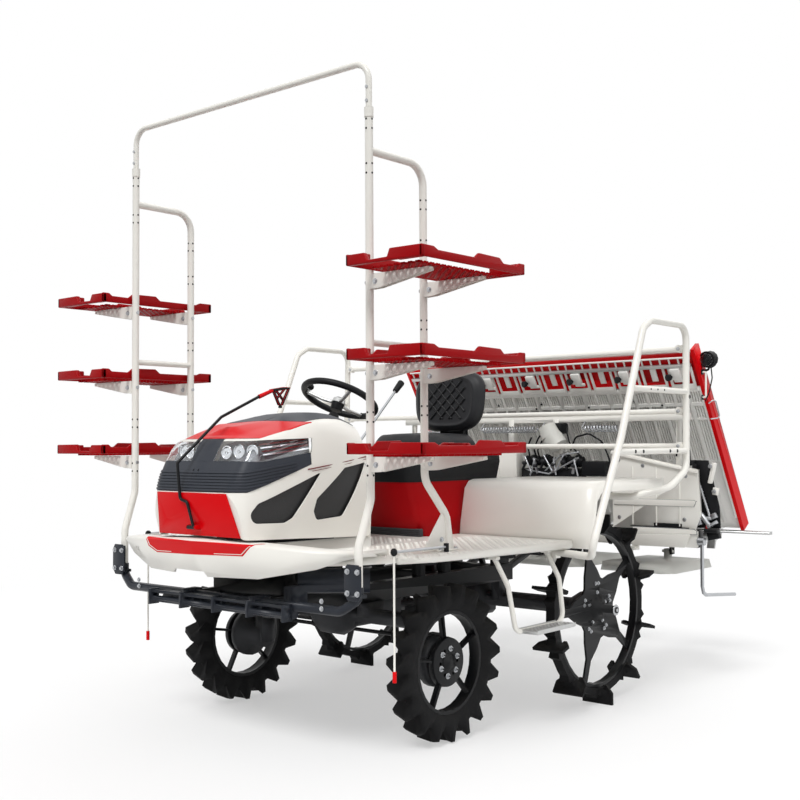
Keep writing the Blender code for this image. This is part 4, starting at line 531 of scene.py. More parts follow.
def dressed(node, finishes, choose=None, smooth=38.0):
    """A merged, smooth-shaded copy of a CAD node, in the node's place."""
    source = NODES[node]
    bm = bmesh.new()
    bm.from_mesh(source.data)
    bmesh.ops.remove_doubles(bm, verts=bm.verts, dist=1e-5)
    for face in bm.faces:
        face.material_index = 0
        if choose is not None:
            centre = face.calc_center_median() - at(0, 0, 0)
            face.material_index = choose(centre.x, centre.y, centre.z, face)
    return show(node + "_skin", bm, source["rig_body"], finishes, smooth, replaces=(node,))


def finished(node, name):
    """A CAD node that stays: only its material changes."""
    mesh = NODES[node].data
    mesh.materials.clear()
    mesh.materials.append(FINISH[name])


for side in ("left", "right"):
    dressed(f"tyre_front_{side}", ["tyre_rubber"], smooth=32.0)
    dressed(f"tyre_rear_{side}", ["tyre_rubber"], smooth=30.0)
    dressed(f"wheel_front_{side}", ["black_enamel"], smooth=35.0)
    dressed(f"wheel_rear_{side}", ["black_enamel"], smooth=35.0)
    dressed(f"knuckle_{side}", ["dark_casting"])
    dressed(f"fender_{side}", ["white_enamel"], smooth=50.0)
    dressed(f"float_{side}", ["pale_moulded"], smooth=50.0)
    dressed(f"rotor_{side}", ["mill_aluminium"])
    finished(f"stand_{side}", "zinc_steel")
dressed("float_centre", ["pale_moulded"], smooth=50.0)
dressed("rotor_centre", ["mill_aluminium"])
dressed("main_frame", ["black_enamel"])
finished("engine", "dark_casting")
dressed("drive_line", ["dark_casting"])
dressed("tie_rod", ["black_enamel"])
dressed("lower_links", ["black_enamel"])
dressed("upper_links", ["black_enamel"])
dressed("lift_rod", ["zinc_steel"])
dressed("front_apron", ["white_enamel"], smooth=45.0)
dressed("seat_base", ["red_moulded"], smooth=40.0)
dressed("deck", ["white_enamel"], smooth=40.0)
dressed("seedling_tray", ["tray_white"])


def planter_paint(x, y, z, face):
    """White frame and covers, bare tray rails, black beam and planting cases."""
    if z > 0.800 and y > 1.640 and abs(x) < 0.801:
        return 1
    if y > 2.100 and abs(x) > 0.880 or y > 2.100 and z > 0.735 and abs(face.normal.z) > 0.9:
        return 1
    if z < 0.795 and y > 1.5785:
        return 2
    return 0


dressed("planter_frame", ["white_enamel", "mill_aluminium", "black_enamel"], planter_paint)
dressed("tray_edge", ["red_enamel", "black_moulded"], lambda x, y, z, face: int(x > 0.968))
dressed("rack_carrier", ["carrier_blue_black"])
print(len(MADE), "solids dressed")

# %% [markdown]
# Much of this machine is cut from sheet. Such a piece is drawn as a flat outline and given its
# thickness, as a laser cutter and a press would, so one helper does both and rounds the rims.

# %% Sheet pieces


def add_outline(bm, outline, thick, plane, place, paint=0, edge=0.0):
    """A flat outline given a thickness: plane names its two axes, place is where its middle lies."""
    turn = {"XZ": ((1, 0, 0), (0, 0, 1), (0, 1, 0)), "YZ": ((0, 1, 0), (0, 0, 1), (1, 0, 0)),
            "XY": ((1, 0, 0), (0, 1, 0), (0, 0, 1))}[plane]
    first, second, normal = (Vector(axis) for axis in turn)
    corners = [bm.verts.new(at(*(first * u + second * v + normal * (place - thick / 2))))
               for u, v in outline]
    face = bm.faces.new(corners)
    grown = bmesh.ops.extrude_face_region(bm, geom=[face])["geom"]
    top = [g for g in grown if isinstance(g, bmesh.types.BMVert)]
    bmesh.ops.translate(bm, vec=normal * thick, verts=top)
    new = list({f for v in (*corners, *top) for f in v.link_faces})
    bmesh.ops.recalc_face_normals(bm, faces=new)
    if edge > 0.0:
        rims = list({e for f in new for e in f.edges})
        new = [f for f in {*new, *soft_edges(bm, rims, edge)} if f.is_valid]
    for item in new:
        item.material_index = paint
    return new


# %% [markdown]
# The racks are round tube bent on a mandrel: one post goes straight up to the hoop, the other
# leaves it in a wide arc and comes down behind. Sheet arms, folded to a channel, carry
# the shelves. Curves with a round bevel make smooth tube of any path.

# %% Racks
SIDES = ((1, "left"), (-1, "right"))
RACK_X, FOOT_X = 0.723, 0.716
FRONT_Y, REAR_Y, FOOT_Y = -0.568, -0.248, -0.628
TUBE_R = 0.0158
JOIN_Z = 2.506
SHELF_TOPS = (("top", 1.914), ("middle", 1.571), ("bottom", 1.228))
SHELF_DEEP = 0.046
ARM_THICK = 0.0035
DECK_TOP = 0.8005
# the heights of the pairs of adjusting holes in the front and the rear post
HOLE_PAIRS = ((FRONT_Y, (2.440, 2.270, 1.330, 1.130)), (REAR_Y, (2.180, 2.020, 1.700, 1.360)))

for side, name in SIDES:
    bm = bmesh.new()
    x, foot_x = side * RACK_X, side * FOOT_X
    add_pipe(bm, [(foot_x, FOOT_Y, 0.701), (foot_x, FOOT_Y, 0.850), (x, FRONT_Y, 1.020),
                  (x, FRONT_Y, JOIN_Z - 0.001)], TUBE_R, 0.10)
    add_pipe(bm, [(x, FRONT_Y, 2.339), (x, REAR_Y, 2.339), (x, REAR_Y, 1.085),
                  (x, REAR_Y + 0.140, 0.935), (x, REAR_Y + 0.140, 0.806)], TUBE_R, 0.085)
    add_pipe(bm, [(x, FRONT_Y, 1.610), (x, REAR_Y, 1.610)], TUBE_R * 0.8)
    add_pipe(bm, [(x, FRONT_Y, JOIN_Z - 0.040), (x, FRONT_Y, JOIN_Z - 0.002)], TUBE_R + 0.0025)
    for level, top in SHELF_TOPS:
        z = top - SHELF_DEEP - 0.0005
        for y in (FRONT_Y, REAR_Y):
            flank = [(0.012, -0.058), (0.060, -0.056), (0.298, -0.014), (0.298, -0.001), (0.012, -0.001)]
            for offset in (-0.0122, 0.0122):
                add_outline(bm, [(x + side * u, z + v) for u, v in flank], ARM_THICK, "XZ", y + offset)
            lid = [(0.012, -0.0125), (0.298, -0.0125), (0.298, 0.0125), (0.012, 0.0125)]
            add_outline(bm, [(x + side * u, y + v) for u, v in lid], ARM_THICK, "XY", z - 0.002)
            hex_bolt(bm, (x + side * 0.040, y - 0.0139, z - 0.030), (0, -1, 0), 0.013, 0.007, paint=1)
            hex_bolt(bm, (x + side * 0.040, y + 0.0139, z - 0.030), (0, 1, 0), 0.013, 0.007, paint=1)
            add_rod(bm, (x - side * 0.0145, y, z - 0.030), (x - side * 0.0185, y, z - 0.030), 0.008, 12,
                    paint=1)
    foot = DECK_TOP + 0.003
    gusset = [(REAR_Y - 0.020, foot), (REAR_Y + 0.183, foot), (REAR_Y + 0.158, 0.935),
              (REAR_Y + 0.118, 0.965)]
    add_outline(bm, gusset, 0.007, "YZ", x, edge=0.002)
    for end in (1, -1):
        hex_bolt(bm, (x + end * 0.004, REAR_Y + 0.100, 0.845), (end, 0, 0), 0.013, 0.006, paint=1)
    add_block(bm, (0.058, 0.123, 0.006), (x, REAR_Y + 0.1225, foot), 0.002)
    for y in (REAR_Y + 0.075, REAR_Y + 0.170):
        for k in (-1, 1):
            hex_bolt(bm, (x + k * 0.020, y, DECK_TOP + 0.006), (0, 0, 1), 0.012, 0.007, paint=1)
    # a dark disc on the tube is painted shade: it stands for the dark inside of a bore
    for y, heights in HOLE_PAIRS:
        for z in heights:
            for k in (-1, 1):
                add_rod(bm, (x, y - 0.0152, z + k * 0.018), (x, y - 0.0163, z + k * 0.018), 0.0042, 12,
                        paint=2)
                add_rod(bm, (x + 0.0152, y, z + k * 0.018), (x + 0.0163, y, z + k * 0.018), 0.0042, 12,
                        paint=2)
    show("rack_tubes_" + name, bm, "chassis", ["white_enamel", "zinc_steel", "black_enamel"],
         replaces=("rack_" + name,))
print("rack tube", round(2000 * TUBE_R, 1), "mm")

# %% [markdown]
# The hoop joins both racks over the bonnet. It is thinner tube that slides into the posts and
# is held by two pins on each side.

# %% Hoop
HOOP_R, HOOP_Z = 0.0125, 2.6807
bm = bmesh.new()
low = JOIN_Z + 0.0005
add_pipe(bm, [(-RACK_X, FRONT_Y, low), (-RACK_X, FRONT_Y, HOOP_Z), (RACK_X, FRONT_Y, HOOP_Z),
              (RACK_X, FRONT_Y, low)], HOOP_R, 0.070, steps=10)
for x in (-RACK_X, RACK_X):
    for z in (low + 0.022, low + 0.075):
        add_rod(bm, (x, FRONT_Y - 0.0122, z), (x, FRONT_Y - 0.0155, z), 0.0065, 12, paint=1)
show("hoop_tube", bm, "chassis", ["white_enamel", "zinc_steel"], replaces=("rack_hoop",))
print("hoop tube", round(2000 * HOOP_R, 1), "mm")

# %% [markdown]
# A shelf's floor is a diamond lattice that lets water through. It could be a wireframe
# modifier, but two crossing rows of plain strips keep an even width and few faces.

# %% Shelf lattice
SHELF_IN, SHELF_WIDE, SHELF_LONG = 0.748, 0.360, 0.628
SHELF_MIDDLE_Y, SHELF_RIM = -0.413, 0.072
LATTICE_PITCH, LATTICE_BAR = 0.034, 0.0075


def add_lattice(bm, half_x, half_y, z, thick):
    """Strips at plus and minus 45 degrees, each cut to length by the rim."""
    count = int((half_x + half_y) / LATTICE_PITCH)
    for lean in (1, -1):
        for k in range(-count, count + 1):
            shift = k * LATTICE_PITCH
            low = max(-half_x, -half_y - shift)
            high = min(half_x, half_y - shift)
            if high - low < 0.008:
                continue
            run = (high - low) * math.sqrt(2)
            middle = (low + high) / 2
            new = bmesh.ops.create_cube(bm, size=1.0)["verts"]
            bmesh.ops.scale(bm, vec=(run, LATTICE_BAR, thick), verts=new)
            bmesh.ops.rotate(bm, matrix=Matrix.Rotation(math.radians(45 * lean), 3, "Z"), verts=new)
            bmesh.ops.translate(bm, vec=(middle, lean * (middle + shift), z), verts=new)


print("lattice pitch", LATTICE_PITCH, "m")

# %% [markdown]
# The shelf itself is one red moulding: a rim with a deep skirt, and raised stops that keep a
# box of seedlings in place. The rim is an inset and extruded rectangle, and the walls and
# stops are outlines with soft edges.

# %% Shelf moulding


def wall_piece(bm, line, thick, plane, place):
    """One upright wall of the moulding with soft edges, round the shelf's own middle."""
    new = add_outline(bm, line, thick, plane, place, edge=0.004)
    verts = {v for face in new for v in face.verts}
    bmesh.ops.translate(bm, vec=-at(0, 0, 0), verts=list(verts))


def shelf_moulding(side):
    """The shelf round its own middle, its underside at z = 0."""
    bm = bmesh.new()
    bmesh.ops.create_grid(bm, x_segments=1, y_segments=1, size=0.5)
    bmesh.ops.scale(bm, vec=(SHELF_WIDE, SHELF_LONG, 1), verts=bm.verts)
    bmesh.ops.bevel(bm, geom=bm.verts[:], offset=0.030, offset_type="OFFSET", affect="VERTICES",
                    segments=5, profile=0.5, material=-1)
    bm.faces.ensure_lookup_table()
    middle = bm.faces[0]
    bmesh.ops.inset_region(bm, faces=[middle], thickness=SHELF_RIM, use_even_offset=True)
    bmesh.ops.delete(bm, geom=[middle], context="FACES")
    grown = bmesh.ops.extrude_face_region(bm, geom=bm.faces[:])["geom"]
    top = [g for g in grown if isinstance(g, bmesh.types.BMVert)]
    bmesh.ops.translate(bm, vec=(0, 0, 0.024), verts=top)
    bmesh.ops.recalc_face_normals(bm, faces=bm.faces)
    rims = [e for e in bm.edges if len(e.link_faces) == 2 and e.calc_face_angle() > 1.0]
    soft_edges(bm, rims, 0.003)
    half_x, half_y = SHELF_WIDE / 2 - SHELF_RIM + 0.004, SHELF_LONG / 2 - SHELF_RIM + 0.004
    add_lattice(bm, half_x, half_y, 0.006, 0.009)
    half_x, half_y = SHELF_WIDE / 2, SHELF_LONG / 2
    low, wall = 0.010, 0.013
    # walls along both long sides, (y, z) from the front end to the back: ends up, a bump, a dip
    long_side = [(-half_y, low), (half_y, low), (half_y, 0.052), (half_y - 0.035, 0.052),
                 (half_y - 0.050, 0.040), (0.175, 0.039), (0.150, 0.058), (0.020, 0.060),
                 (-0.005, 0.041), (-0.220, 0.041), (-0.245, 0.052), (-half_y, 0.052)]
    for x, line in ((half_x - wall / 2, long_side),
                    (wall / 2 - half_x, [(-y, z) for y, z in reversed(long_side)])):
        wall_piece(bm, line, wall, "YZ", x)
    # walls across both ends, (x, z): two raised blocks with a low gap for the box's strap
    end_side = [(-half_x, low), (half_x, low), (half_x, 0.052), (0.030, 0.053), (0.018, 0.024),
                (-0.075, 0.022), (-0.090, 0.050), (-half_x, 0.050)]
    for y in (-half_y + 0.010, half_y - 0.010):
        wall_piece(bm, end_side, 0.020, "XZ", y)
    for u, v, wide, long in ((0.105, -half_y + 0.030, 0.130, 0.044),
                             (-0.135, -half_y + 0.026, 0.080, 0.036),
                             (0.105, half_y - 0.026, 0.130, 0.036),
                             (-0.135, half_y - 0.026, 0.080, 0.036)):
        line = [(u - wide / 2, v - long / 2), (u + wide / 2, v - long / 2), (u + wide / 2, v + long / 2),
                (u - wide / 2, v + long / 2)]
        wall_piece(bm, line, 0.036, "XY", 0.032)
    if side < 0:
        bmesh.ops.scale(bm, vec=(-1, 1, 1), verts=bm.verts)
        bmesh.ops.reverse_faces(bm, faces=bm.faces)
    return bm


# %% [markdown]
# Six of them are set on the arms, three on each side. The right ones are mirrored, and a mirror
# turns faces inside out, so the moulding turns them back.

# %% Shelves
for side, name in SIDES:
    for level, top in SHELF_TOPS:
        bm = shelf_moulding(side)
        place = at(side * (SHELF_IN + SHELF_WIDE / 2), SHELF_MIDDLE_Y, top - SHELF_DEEP)
        bmesh.ops.translate(bm, vec=place, verts=bm.verts)
        show(f"shelf_moulding_{name}_{level}", bm, "chassis", ["red_moulded"], smooth=45.0,
             replaces=(f"shelf_{name}_{level}",))
print("six shelves of", SHELF_WIDE, "by", SHELF_LONG, "m")

# %% [markdown]
# The guard rails behind the seat are one bent loop on each side with two side bars, and three
# bars across whose eyes are bolted to the loops. The side bars are bored in pairs for hooks;
# each bore is a black rod through the bar, whose dark ends are painted shade.

# %% Guard rails
GUARD_X, GUARD_R = 1.103, 0.0163
GUARD_BACK_Y = 1.253
# each side bar: its height, the radius of its bores, and where they lie along it
SIDE_BARS = ((1.470, 0.0045, (0.30, 0.42, 0.54)), (1.190, 0.0078, (0.20, 0.31, 0.70, 0.81)))
CROSS_BARS = (1.676, 1.378, 1.212)


def guard_rear_y(z):
    """The loop's rear post leans a little."""
    return 1.263 - 0.020 * (1.785 - z) / 0.685


bm = bmesh.new()
for side in (1, -1):
    x = side * GUARD_X
    add_pipe(bm, [(side * 0.800, 0.560, 0.7475), (side * 1.052, 0.463, 0.7475), (x, 0.385, 0.800),
                  (x, 0.632, 1.250), (x, 0.842, 1.745), (x, 0.917, 1.785), (x, 1.263, 1.785),
                  (x, 1.243, 1.100), (x, 1.070, 1.020), (side * 0.950, 1.000, 0.978),
                  (side * 0.600, 1.000, 0.978)], GUARD_R, 0.070)
    for z, bore, shares in SIDE_BARS:
        y = 0.632 + (z - 1.250) * 0.4263
        add_pipe(bm, [(x, y, z), (x, GUARD_BACK_Y, z)], GUARD_R * 0.86)
        # the bores are black rods through the bar: painted shade for the holes
        for share in shares:
            hole_y = y + share * (GUARD_BACK_Y - y)
            add_rod(bm, (x - side * 0.012, hole_y, z), (x + side * 0.0147, hole_y, z), bore, 16, paint=2)
    add_block(bm, (0.050, 0.040, 0.048), (side * 0.800, 0.557, 0.7445), 0.002)
    add_block(bm, (0.050, 0.040, 0.024), (side * 0.625, 1.000, 0.9845), 0.002)
    for z in CROSS_BARS:
        y = guard_rear_y(z)
        add_block(bm, (0.004, 0.030, 0.034), (x - side * (GUARD_R + 0.002), y, z), 0.001)
        hex_bolt(bm, (x - side * (GUARD_R + 0.004), y, z), (-side, 0, 0), 0.013, 0.007, paint=1)
        eye_x = x - side * 0.034
        add_rod(bm, (eye_x, y - 0.0150, z), (eye_x, y + 0.0150, z), 0.0190, 24, chamfer=0.003)
        add_rod(bm, (eye_x, y - 0.0185, z), (eye_x, y - 0.0140, z), 0.0090, 16, paint=1, chamfer=0.001)
    # a dark disc on the rear post: painted shade for one more bore
    add_rod(bm, (x, 1.259, 1.446), (x + side * 0.01615, 1.259, 1.446), 0.0100, 16, paint=2)
for z in CROSS_BARS:
    y = guard_rear_y(z)
    add_pipe(bm, [(-GUARD_X, y, z), (GUARD_X, y, z)], 0.0132)
show("guard_tubes", bm, "chassis", ["white_enamel", "zinc_steel", "black_enamel"],
     replaces=("guard_rails",))
print("guard rails", round(2 * (GUARD_X + GUARD_R), 3), "m across")

# %% [markdown]
# The steering wheel is a rubber-covered ring on three flat spokes. A circle swept by a smaller
# circle makes the ring; the spokes dip to a hub that stands on the column, and a small knob
# lets the driver turn it with one hand.

# %% Steering wheel
WHEEL_AXIS = Vector((0.0, 0.079, 0.155)).normalized()
COLUMN_TOP = Vector((0.0, -0.007, 1.369))
RIM_PLACE = COLUMN_TOP + WHEEL_AXIS * 0.075
RIM_R, GRIP_R = 0.170, 0.0148
ACROSS = Vector((1.0, 0.0, 0.0))
UPWARD = WHEEL_AXIS.cross(ACROSS)


def on_rim(degrees, radius, lift=0.0):
    """A place in the wheel's plane, lifted along its axis."""
    turn = math.radians(degrees)
    flat = RIM_PLACE + ACROSS * radius * math.cos(turn) + UPWARD * radius * math.sin(turn)
    return flat + WHEEL_AXIS * lift


bm = bmesh.new()
add_pipe(bm, [on_rim(k * 7.5, RIM_R) for k in range(48)], GRIP_R, closed=True, rings=6)
for spoke in (90, 210, 330):
    add_pipe(bm, [on_rim(spoke, 0.020, -0.022), on_rim(spoke, 0.070, -0.020), on_rim(spoke, RIM_R - 0.004)],
             0.0085, 0.05, paint=1, rings=3)
    for finger in range(3):
        place = on_rim(spoke, RIM_R - 0.012 + 0.001 * finger)
        add_rod(bm, place - UPWARD * 0.001, place + UPWARD * 0.001, 0.012, 12)
add_rod(bm, on_rim(0, 0.0, -0.060), on_rim(0, 0.0, -0.026), 0.026, 24, end_radius=0.030)
add_rod(bm, on_rim(0, 0.0, -0.026), on_rim(0, 0.0, -0.004), 0.034, 24, end_radius=0.028, paint=1)
add_rod(bm, on_rim(0, 0.0, -0.004), on_rim(0, 0.0, 0.003), 0.024, 24, end_radius=0.018)
knob = on_rim(200, RIM_R)
add_rod(bm, knob, knob + WHEEL_AXIS * 0.030, 0.006, 12, paint=1)
for k in range(4):
    low, high = (0.0145, 0.021, 0.021, 0.014)[k], (0.021, 0.021, 0.014, 0.006)[k]
    start = knob + WHEEL_AXIS * (0.026 + 0.009 * k)
    add_rod(bm, start, start + WHEEL_AXIS * 0.009, low, 20, end_radius=high)
show("steering_wheel_ring", bm, "steering_wheel", ["black_moulded", "mill_aluminium"], 50.0,
     replaces=("steering_wheel",))
print("steering wheel", round(2 * (RIM_R + GRIP_R), 3), "m across")

# %% [markdown]
# The seat is black vinyl over foam, moulded in one with its welts. Foam has no sharp edges, so
# a pad grows from a fine grid whose height is a smooth function, closed on its other side.
# Pulling the grid's corners in gives the rounded square of a cushion.

# %% Foam pads


def foam_pad(steps, place_of):
    """A closed pad: the top comes from place_of(u, v, 1), the underside from place_of(u, v, 0)."""
    bm = bmesh.new()
    bmesh.ops.create_grid(bm, x_segments=steps, y_segments=steps, size=1.0)
    grown = bmesh.ops.extrude_face_region(bm, geom=bm.faces[:])["geom"]
    top = {g for g in grown if isinstance(g, bmesh.types.BMVert)}
    for vert in bm.verts:
        u, v = vert.co.x, vert.co.y
        vert.co = at(*place_of(u, v, 1.0 if vert in top else 0.0))
    bmesh.ops.recalc_face_normals(bm, faces=bm.faces)
    return bm


def round_square(u, v, power=4.0):
    """Pulls a square's corners in to a rounded square."""
    reach = (abs(u) ** power + abs(v) ** power) ** (1.0 / power)
    longest = max(abs(u), abs(v), 1e-6)
    pull = longest / reach if reach > 0 else 1.0
    return u * pull, v * pull, longest


print("a pad is a grid with two layers")

# %% [markdown]
# The cushion is crowned and rolls down at its edges, with a welt set in from them and shallow
# flutes across the middle.

# %% Cushion
SEAT_Y, SEAT_Z = 0.640, 1.197
SEAT_HALF, SEAT_HIGH = 0.206, 0.086


def cushion_place(u, v, layer):
    """A place on the cushion for u, v from -1 to 1; layer 1 is its top, 0 its underside."""
    x, y, edge = round_square(u, v, 5.0)
    fall = max(0.0, edge - 0.80) / 0.20
    crown = 1.0 - 0.18 * (x * x + y * y) / 2
    welt = -0.006 * math.exp(-((edge - 0.74) / 0.035) ** 2)
    flute = -0.004 * max(0.0, 1.0 - edge / 0.66) ** 0.3 * (0.5 + 0.5 * math.cos(x * 22.0)) ** 6
    high = SEAT_HIGH * (crown - 0.55 * fall * fall) + welt + flute
    waist = 1.0 - 0.030 * (1.0 - layer)
    return (x * SEAT_HALF * waist, SEAT_Y + y * SEAT_HALF * waist, SEAT_Z + (high if layer else 0.004))


bm = foam_pad(44, cushion_place)
cushion = show("seat_cushion", bm, "seat", ["seat_vinyl"], 60.0, replaces=("seat",))
print("cushion", 2 * SEAT_HALF, "m wide")

# %% [markdown]
# The backrest has a raised border, and glossy ribs that cross on its front and let air through
# between them. The ribs are thin tubes laid along the pad's own front.

# %% Backrest
BACK_Y, BACK_LOW, BACK_TOP = 0.842, 1.290, 1.600
BACK_HALF = 0.228
RIB_WIDE, RIB_TALL, RIB_PITCH, RIB_MIDDLE_Z = 0.118, 0.096, 0.058, 1.452


def backrest_place(u, v, layer):
    """A place on the backrest for u, v from -1 to 1; layer 0 is its front, 1 its back."""
    x, z, edge = round_square(u, v, 3.2)
    middle = (BACK_LOW + BACK_TOP) / 2
    half = (BACK_TOP - BACK_LOW) / 2
    taper = 1.0 - 0.10 * (1.0 - z) / 2
    border = math.exp(-((edge - 0.80) / 0.05) ** 2)
    fall = max(0.0, edge - 0.86) / 0.14
    wide, tall = x * BACK_HALF * taper, z * half
    lean = 0.020 * (z + 1.0) / 2
    front = -0.034 - 0.009 * border + 0.026 * fall * fall + 0.005 * (1.0 - x * x)
    back = 0.030 - 0.022 * fall * fall
    return (wide, BACK_Y + lean - 0.010 + (back if layer else front), middle + tall)


def backrest_front(wide, tall):
    """The middle of the backrest's front face at a place on it."""
    return BACK_Y + 0.010 * (tall / 0.155 + 1.0) - 0.0435 + 0.005 * (1.0 - (wide / BACK_HALF) ** 2)


bm = foam_pad(72, backrest_place)
for k in range(-2, 3):
    for way in (1, -1):
        level = RIB_PITCH * k
        first = max(-RIB_WIDE, level - RIB_TALL)
        last = min(RIB_WIDE, level + RIB_TALL)
        line = []
        for step in range(9):
            wide = first + (last - first) * step / 8
            tall = level - wide
            line.append((way * wide, backrest_front(wide, tall) - 0.0004, RIB_MIDDLE_Z + tall))
        add_pipe(bm, line, 0.0062, rings=3, paint=1)
show("seat_backrest", bm, "seat", ["seat_vinyl", "black_enamel"], 60.0)
print("backrest top at", BACK_TOP, "m")

# %% [markdown]
# A pressed pan carries the cushion and turns on a rod at its front edge; two flat stays and a
# plate carry the backrest.

# %% Seat frame
bm = bmesh.new()
add_block(bm, (0.360, 0.360, 0.020), (0.0, 0.668, 1.190), 0.004)
add_pipe(bm, [(-0.150, 0.400, 1.188), (0.150, 0.400, 1.188)], 0.008)
for k in (-1, 1):
    add_outline(bm, [(0.830, 1.190), (0.876, 1.190), (0.892, 1.300), (0.880, 1.420), (0.862, 1.420),
                     (0.858, 1.300)], 0.010, "YZ", k * 0.070, edge=0.001)
add_block(bm, (0.160, 0.010, 0.180), (0.0, 0.884, 1.330), 0.002)
show("seat_frame", bm, "seat", ["black_enamel"])
print("seat frame of", len(MADE), "pieces so far")

# %% [markdown]
# The bonnet is one flowing shell that is split into panels. Its cross sections come from the
# machine's own table: foot, widest place, shoulder and crown. Cutting the corners of each
# section rounds it, and a spline through the sections fills the length.

# %% Bonnet sections
# columns: y, lean of the section, half width and height at the foot, half width and height at
# the shoulder, height of the crown
SECTIONS = (
    (-0.785, -0.045, 0.256, 0.862, 0.222, 1.040, 1.046),
    (-0.775, -0.016, 0.272, 0.860, 0.250, 1.128, 1.136),
    (-0.725, 0.000, 0.290, 0.859, 0.262, 1.225, 1.246),
    (-0.660, 0.000, 0.305, 0.858, 0.272, 1.255, 1.272),
    (-0.540, 0.000, 0.322, 0.855, 0.300, 1.290, 1.305),
    (-0.415, 0.000, 0.335, 0.850, 0.318, 1.322, 1.338),
    (-0.270, 0.000, 0.345, 0.846, 0.316, 1.292, 1.370),
    (-0.150, 0.000, 0.345, 0.842, 0.304, 1.255, 1.345),
)
ROW_STEPS = 6


def cut_corners(points, rounds=2):
    """Corner cutting: each pass replaces a corner by two points nearer to its sides."""
    for _ in range(rounds):
        line = [points[0]]
        for a, b in zip(points, points[1:]):
            line += [a * 0.75 + b * 0.25, a * 0.25 + b * 0.75]
        points = [*line, points[-1]]
    return points


def between_rows(table, steps):
    """A spline through the rows of a table, each column on its own."""
    rows = []
    for k in range(len(table) - 1):
        before, start, end, after = (Vector(table[i]) for i in
                                     (max(k - 1, 0), k, k + 1, min(k + 2, len(table) - 1)))
        for step in range(steps):
            t = step / steps
            square = 2 * before - 5 * start + 4 * end - after
            cube = 3 * start - before - 3 * end + after
            rows.append(0.5 * (2 * start + (end - before) * t + square * t ** 2 + cube * t ** 3))
    return [*rows, Vector(table[-1])]


def scoop(x, y):
    """The scoop in the middle of the red top: a blunt front edge, and a long run out behind."""
    front = max(0.0, min(1.0, (y + 0.655) / 0.022))
    behind = max(0.0, min(1.0, (-0.440 - y) / 0.190))
    across = max(0.0, 1.0 - (abs(x + 0.010) / 0.090) ** 3)
    return 0.024 * front * behind * across


def section_ring(row):
    """One section of the bonnet as a closed ring of points."""
    y, lean, low, low_z, high, shoulder, crown = row
    right = [(low, low_z), (low + 0.010, (low_z + shoulder) / 2), (high, shoulder),
             (high * 0.72, crown - 0.010)]
    half = [Vector((x, y + lean * (z - low_z) / (crown - low_z), z)) for x, z in right]
    ring = [*half, Vector((0.0, y + lean, crown)), *(Vector((-v.x, v.y, v.z)) for v in reversed(half))]
    return [v + Vector((0, 0, scoop(v.x, v.y) if v.z > 1.25 else 0.0)) for v in cut_corners(ring)]


ROWS = [section_ring(row) for row in between_rows(SECTIONS, ROW_STEPS)]
front = sum(ROWS[0], Vector()) / len(ROWS[0])
ROWS = [[front.lerp(v, share) for v in ROWS[0]] for share in (0.03, 0.6, 0.97)] + ROWS
print("bonnet:", len(ROWS), "rings of", len(ROWS[0]), "points")

# %% [markdown]
# A grid takes its places from those rings and gets a wall. Every panel of the bonnet is then
# carved out of a copy of this shell with a Boolean, so that the panels meet with an even gap
# and share one flowing surface.

# %% Bonnet shell


def bonnet_shell(grow, wall):
    """The whole shell, moved out by grow, with a wall inside it."""
    around, along = len(ROWS[0]) - 1, len(ROWS) - 1
    bm = bmesh.new()
    bmesh.ops.create_grid(bm, x_segments=around, y_segments=along, size=1.0)
    for vert in bm.verts:
        i, k = round((vert.co.x + 1) / 2 * around), round((vert.co.y + 1) / 2 * along)
        vert.co = at(*ROWS[k][i])
    bmesh.ops.recalc_face_normals(bm, faces=bm.faces)
    bm.normal_update()
    bm.faces.ensure_lookup_table()
    crown_face = max(bm.faces, key=lambda f: f.calc_center_median().z)
    if crown_face.normal.z < 0:
        bmesh.ops.reverse_faces(bm, faces=bm.faces)
        bm.normal_update()
    for vert, move in [(v, v.normal.copy() * grow) for v in bm.verts]:
        vert.co += move
    bmesh.ops.solidify(bm, geom=bm.faces[:], thickness=wall)
    bmesh.ops.recalc_face_normals(bm, faces=bm.faces)
    return bm


def carved(bm, cutter, operation):
    """What a Boolean leaves of one bmesh, as a new bmesh."""
    pair = []
    for name, source in (("stock", bm), ("cutter", cutter)):
        mesh = bpy.data.meshes.new(name)
        source.to_mesh(mesh)
        source.free()
        holder = bpy.data.objects.new(name, mesh)
        scene.collection.objects.link(holder)
        pair.append(holder)
    stock, tool = pair
    step = stock.modifiers.new("carve", "BOOLEAN")
    step.operation, step.solver, step.object = operation, "EXACT", tool
    bpy.context.view_layer.update()
    mesh = bpy.data.meshes.new_from_object(stock.evaluated_get(bpy.context.evaluated_depsgraph_get()))
    left = bmesh.new()
    left.from_mesh(mesh)
    for holder in pair:
        bpy.data.objects.remove(holder)
    bpy.data.meshes.remove(mesh)
    return left


print("shell wall and Boolean helpers ready")

# %% [markdown]
# A zone is a plain prism that reaches through the shell where one panel goes. The white sides
# lose every zone with a small gap added; each panel keeps its own.

# %% Panel zones
PANEL_GAP = 0.0012


def prism(outline, thick, plane, place, edge=0.0):
    """A flat outline given a thickness, as a bmesh of its own."""
    bm = bmesh.new()
    add_outline(bm, outline, thick, plane, place, edge=edge)
    return bm


def visor_zone(g=0.0):
    """The prism of the slatted visor, grown by g."""
    return prism([(-0.900, 1.0445 - g), (-0.780, 1.0445 - g), (-0.485 + g, 1.150 - g),
                  (-0.485 + g, 1.196 + g), (-0.710, 1.1612 + g), (-0.900, 1.1715 + g)], 0.90, "YZ", 0.0)


def lamp_zone(side, g=0.0):
    """The prism of one headlamp, grown by g."""
    near = 0.068 - g
    return prism([(-0.820, 1.168 - g), (-0.710, 1.162 - g), (-0.480 + g, 1.198 - g),
                  (-0.470 + g, 1.254 + g), (-0.660, 1.246 + g), (-0.820, 1.236 + g)],
                 0.40 - near, "YZ", side * (0.40 + near) / 2)


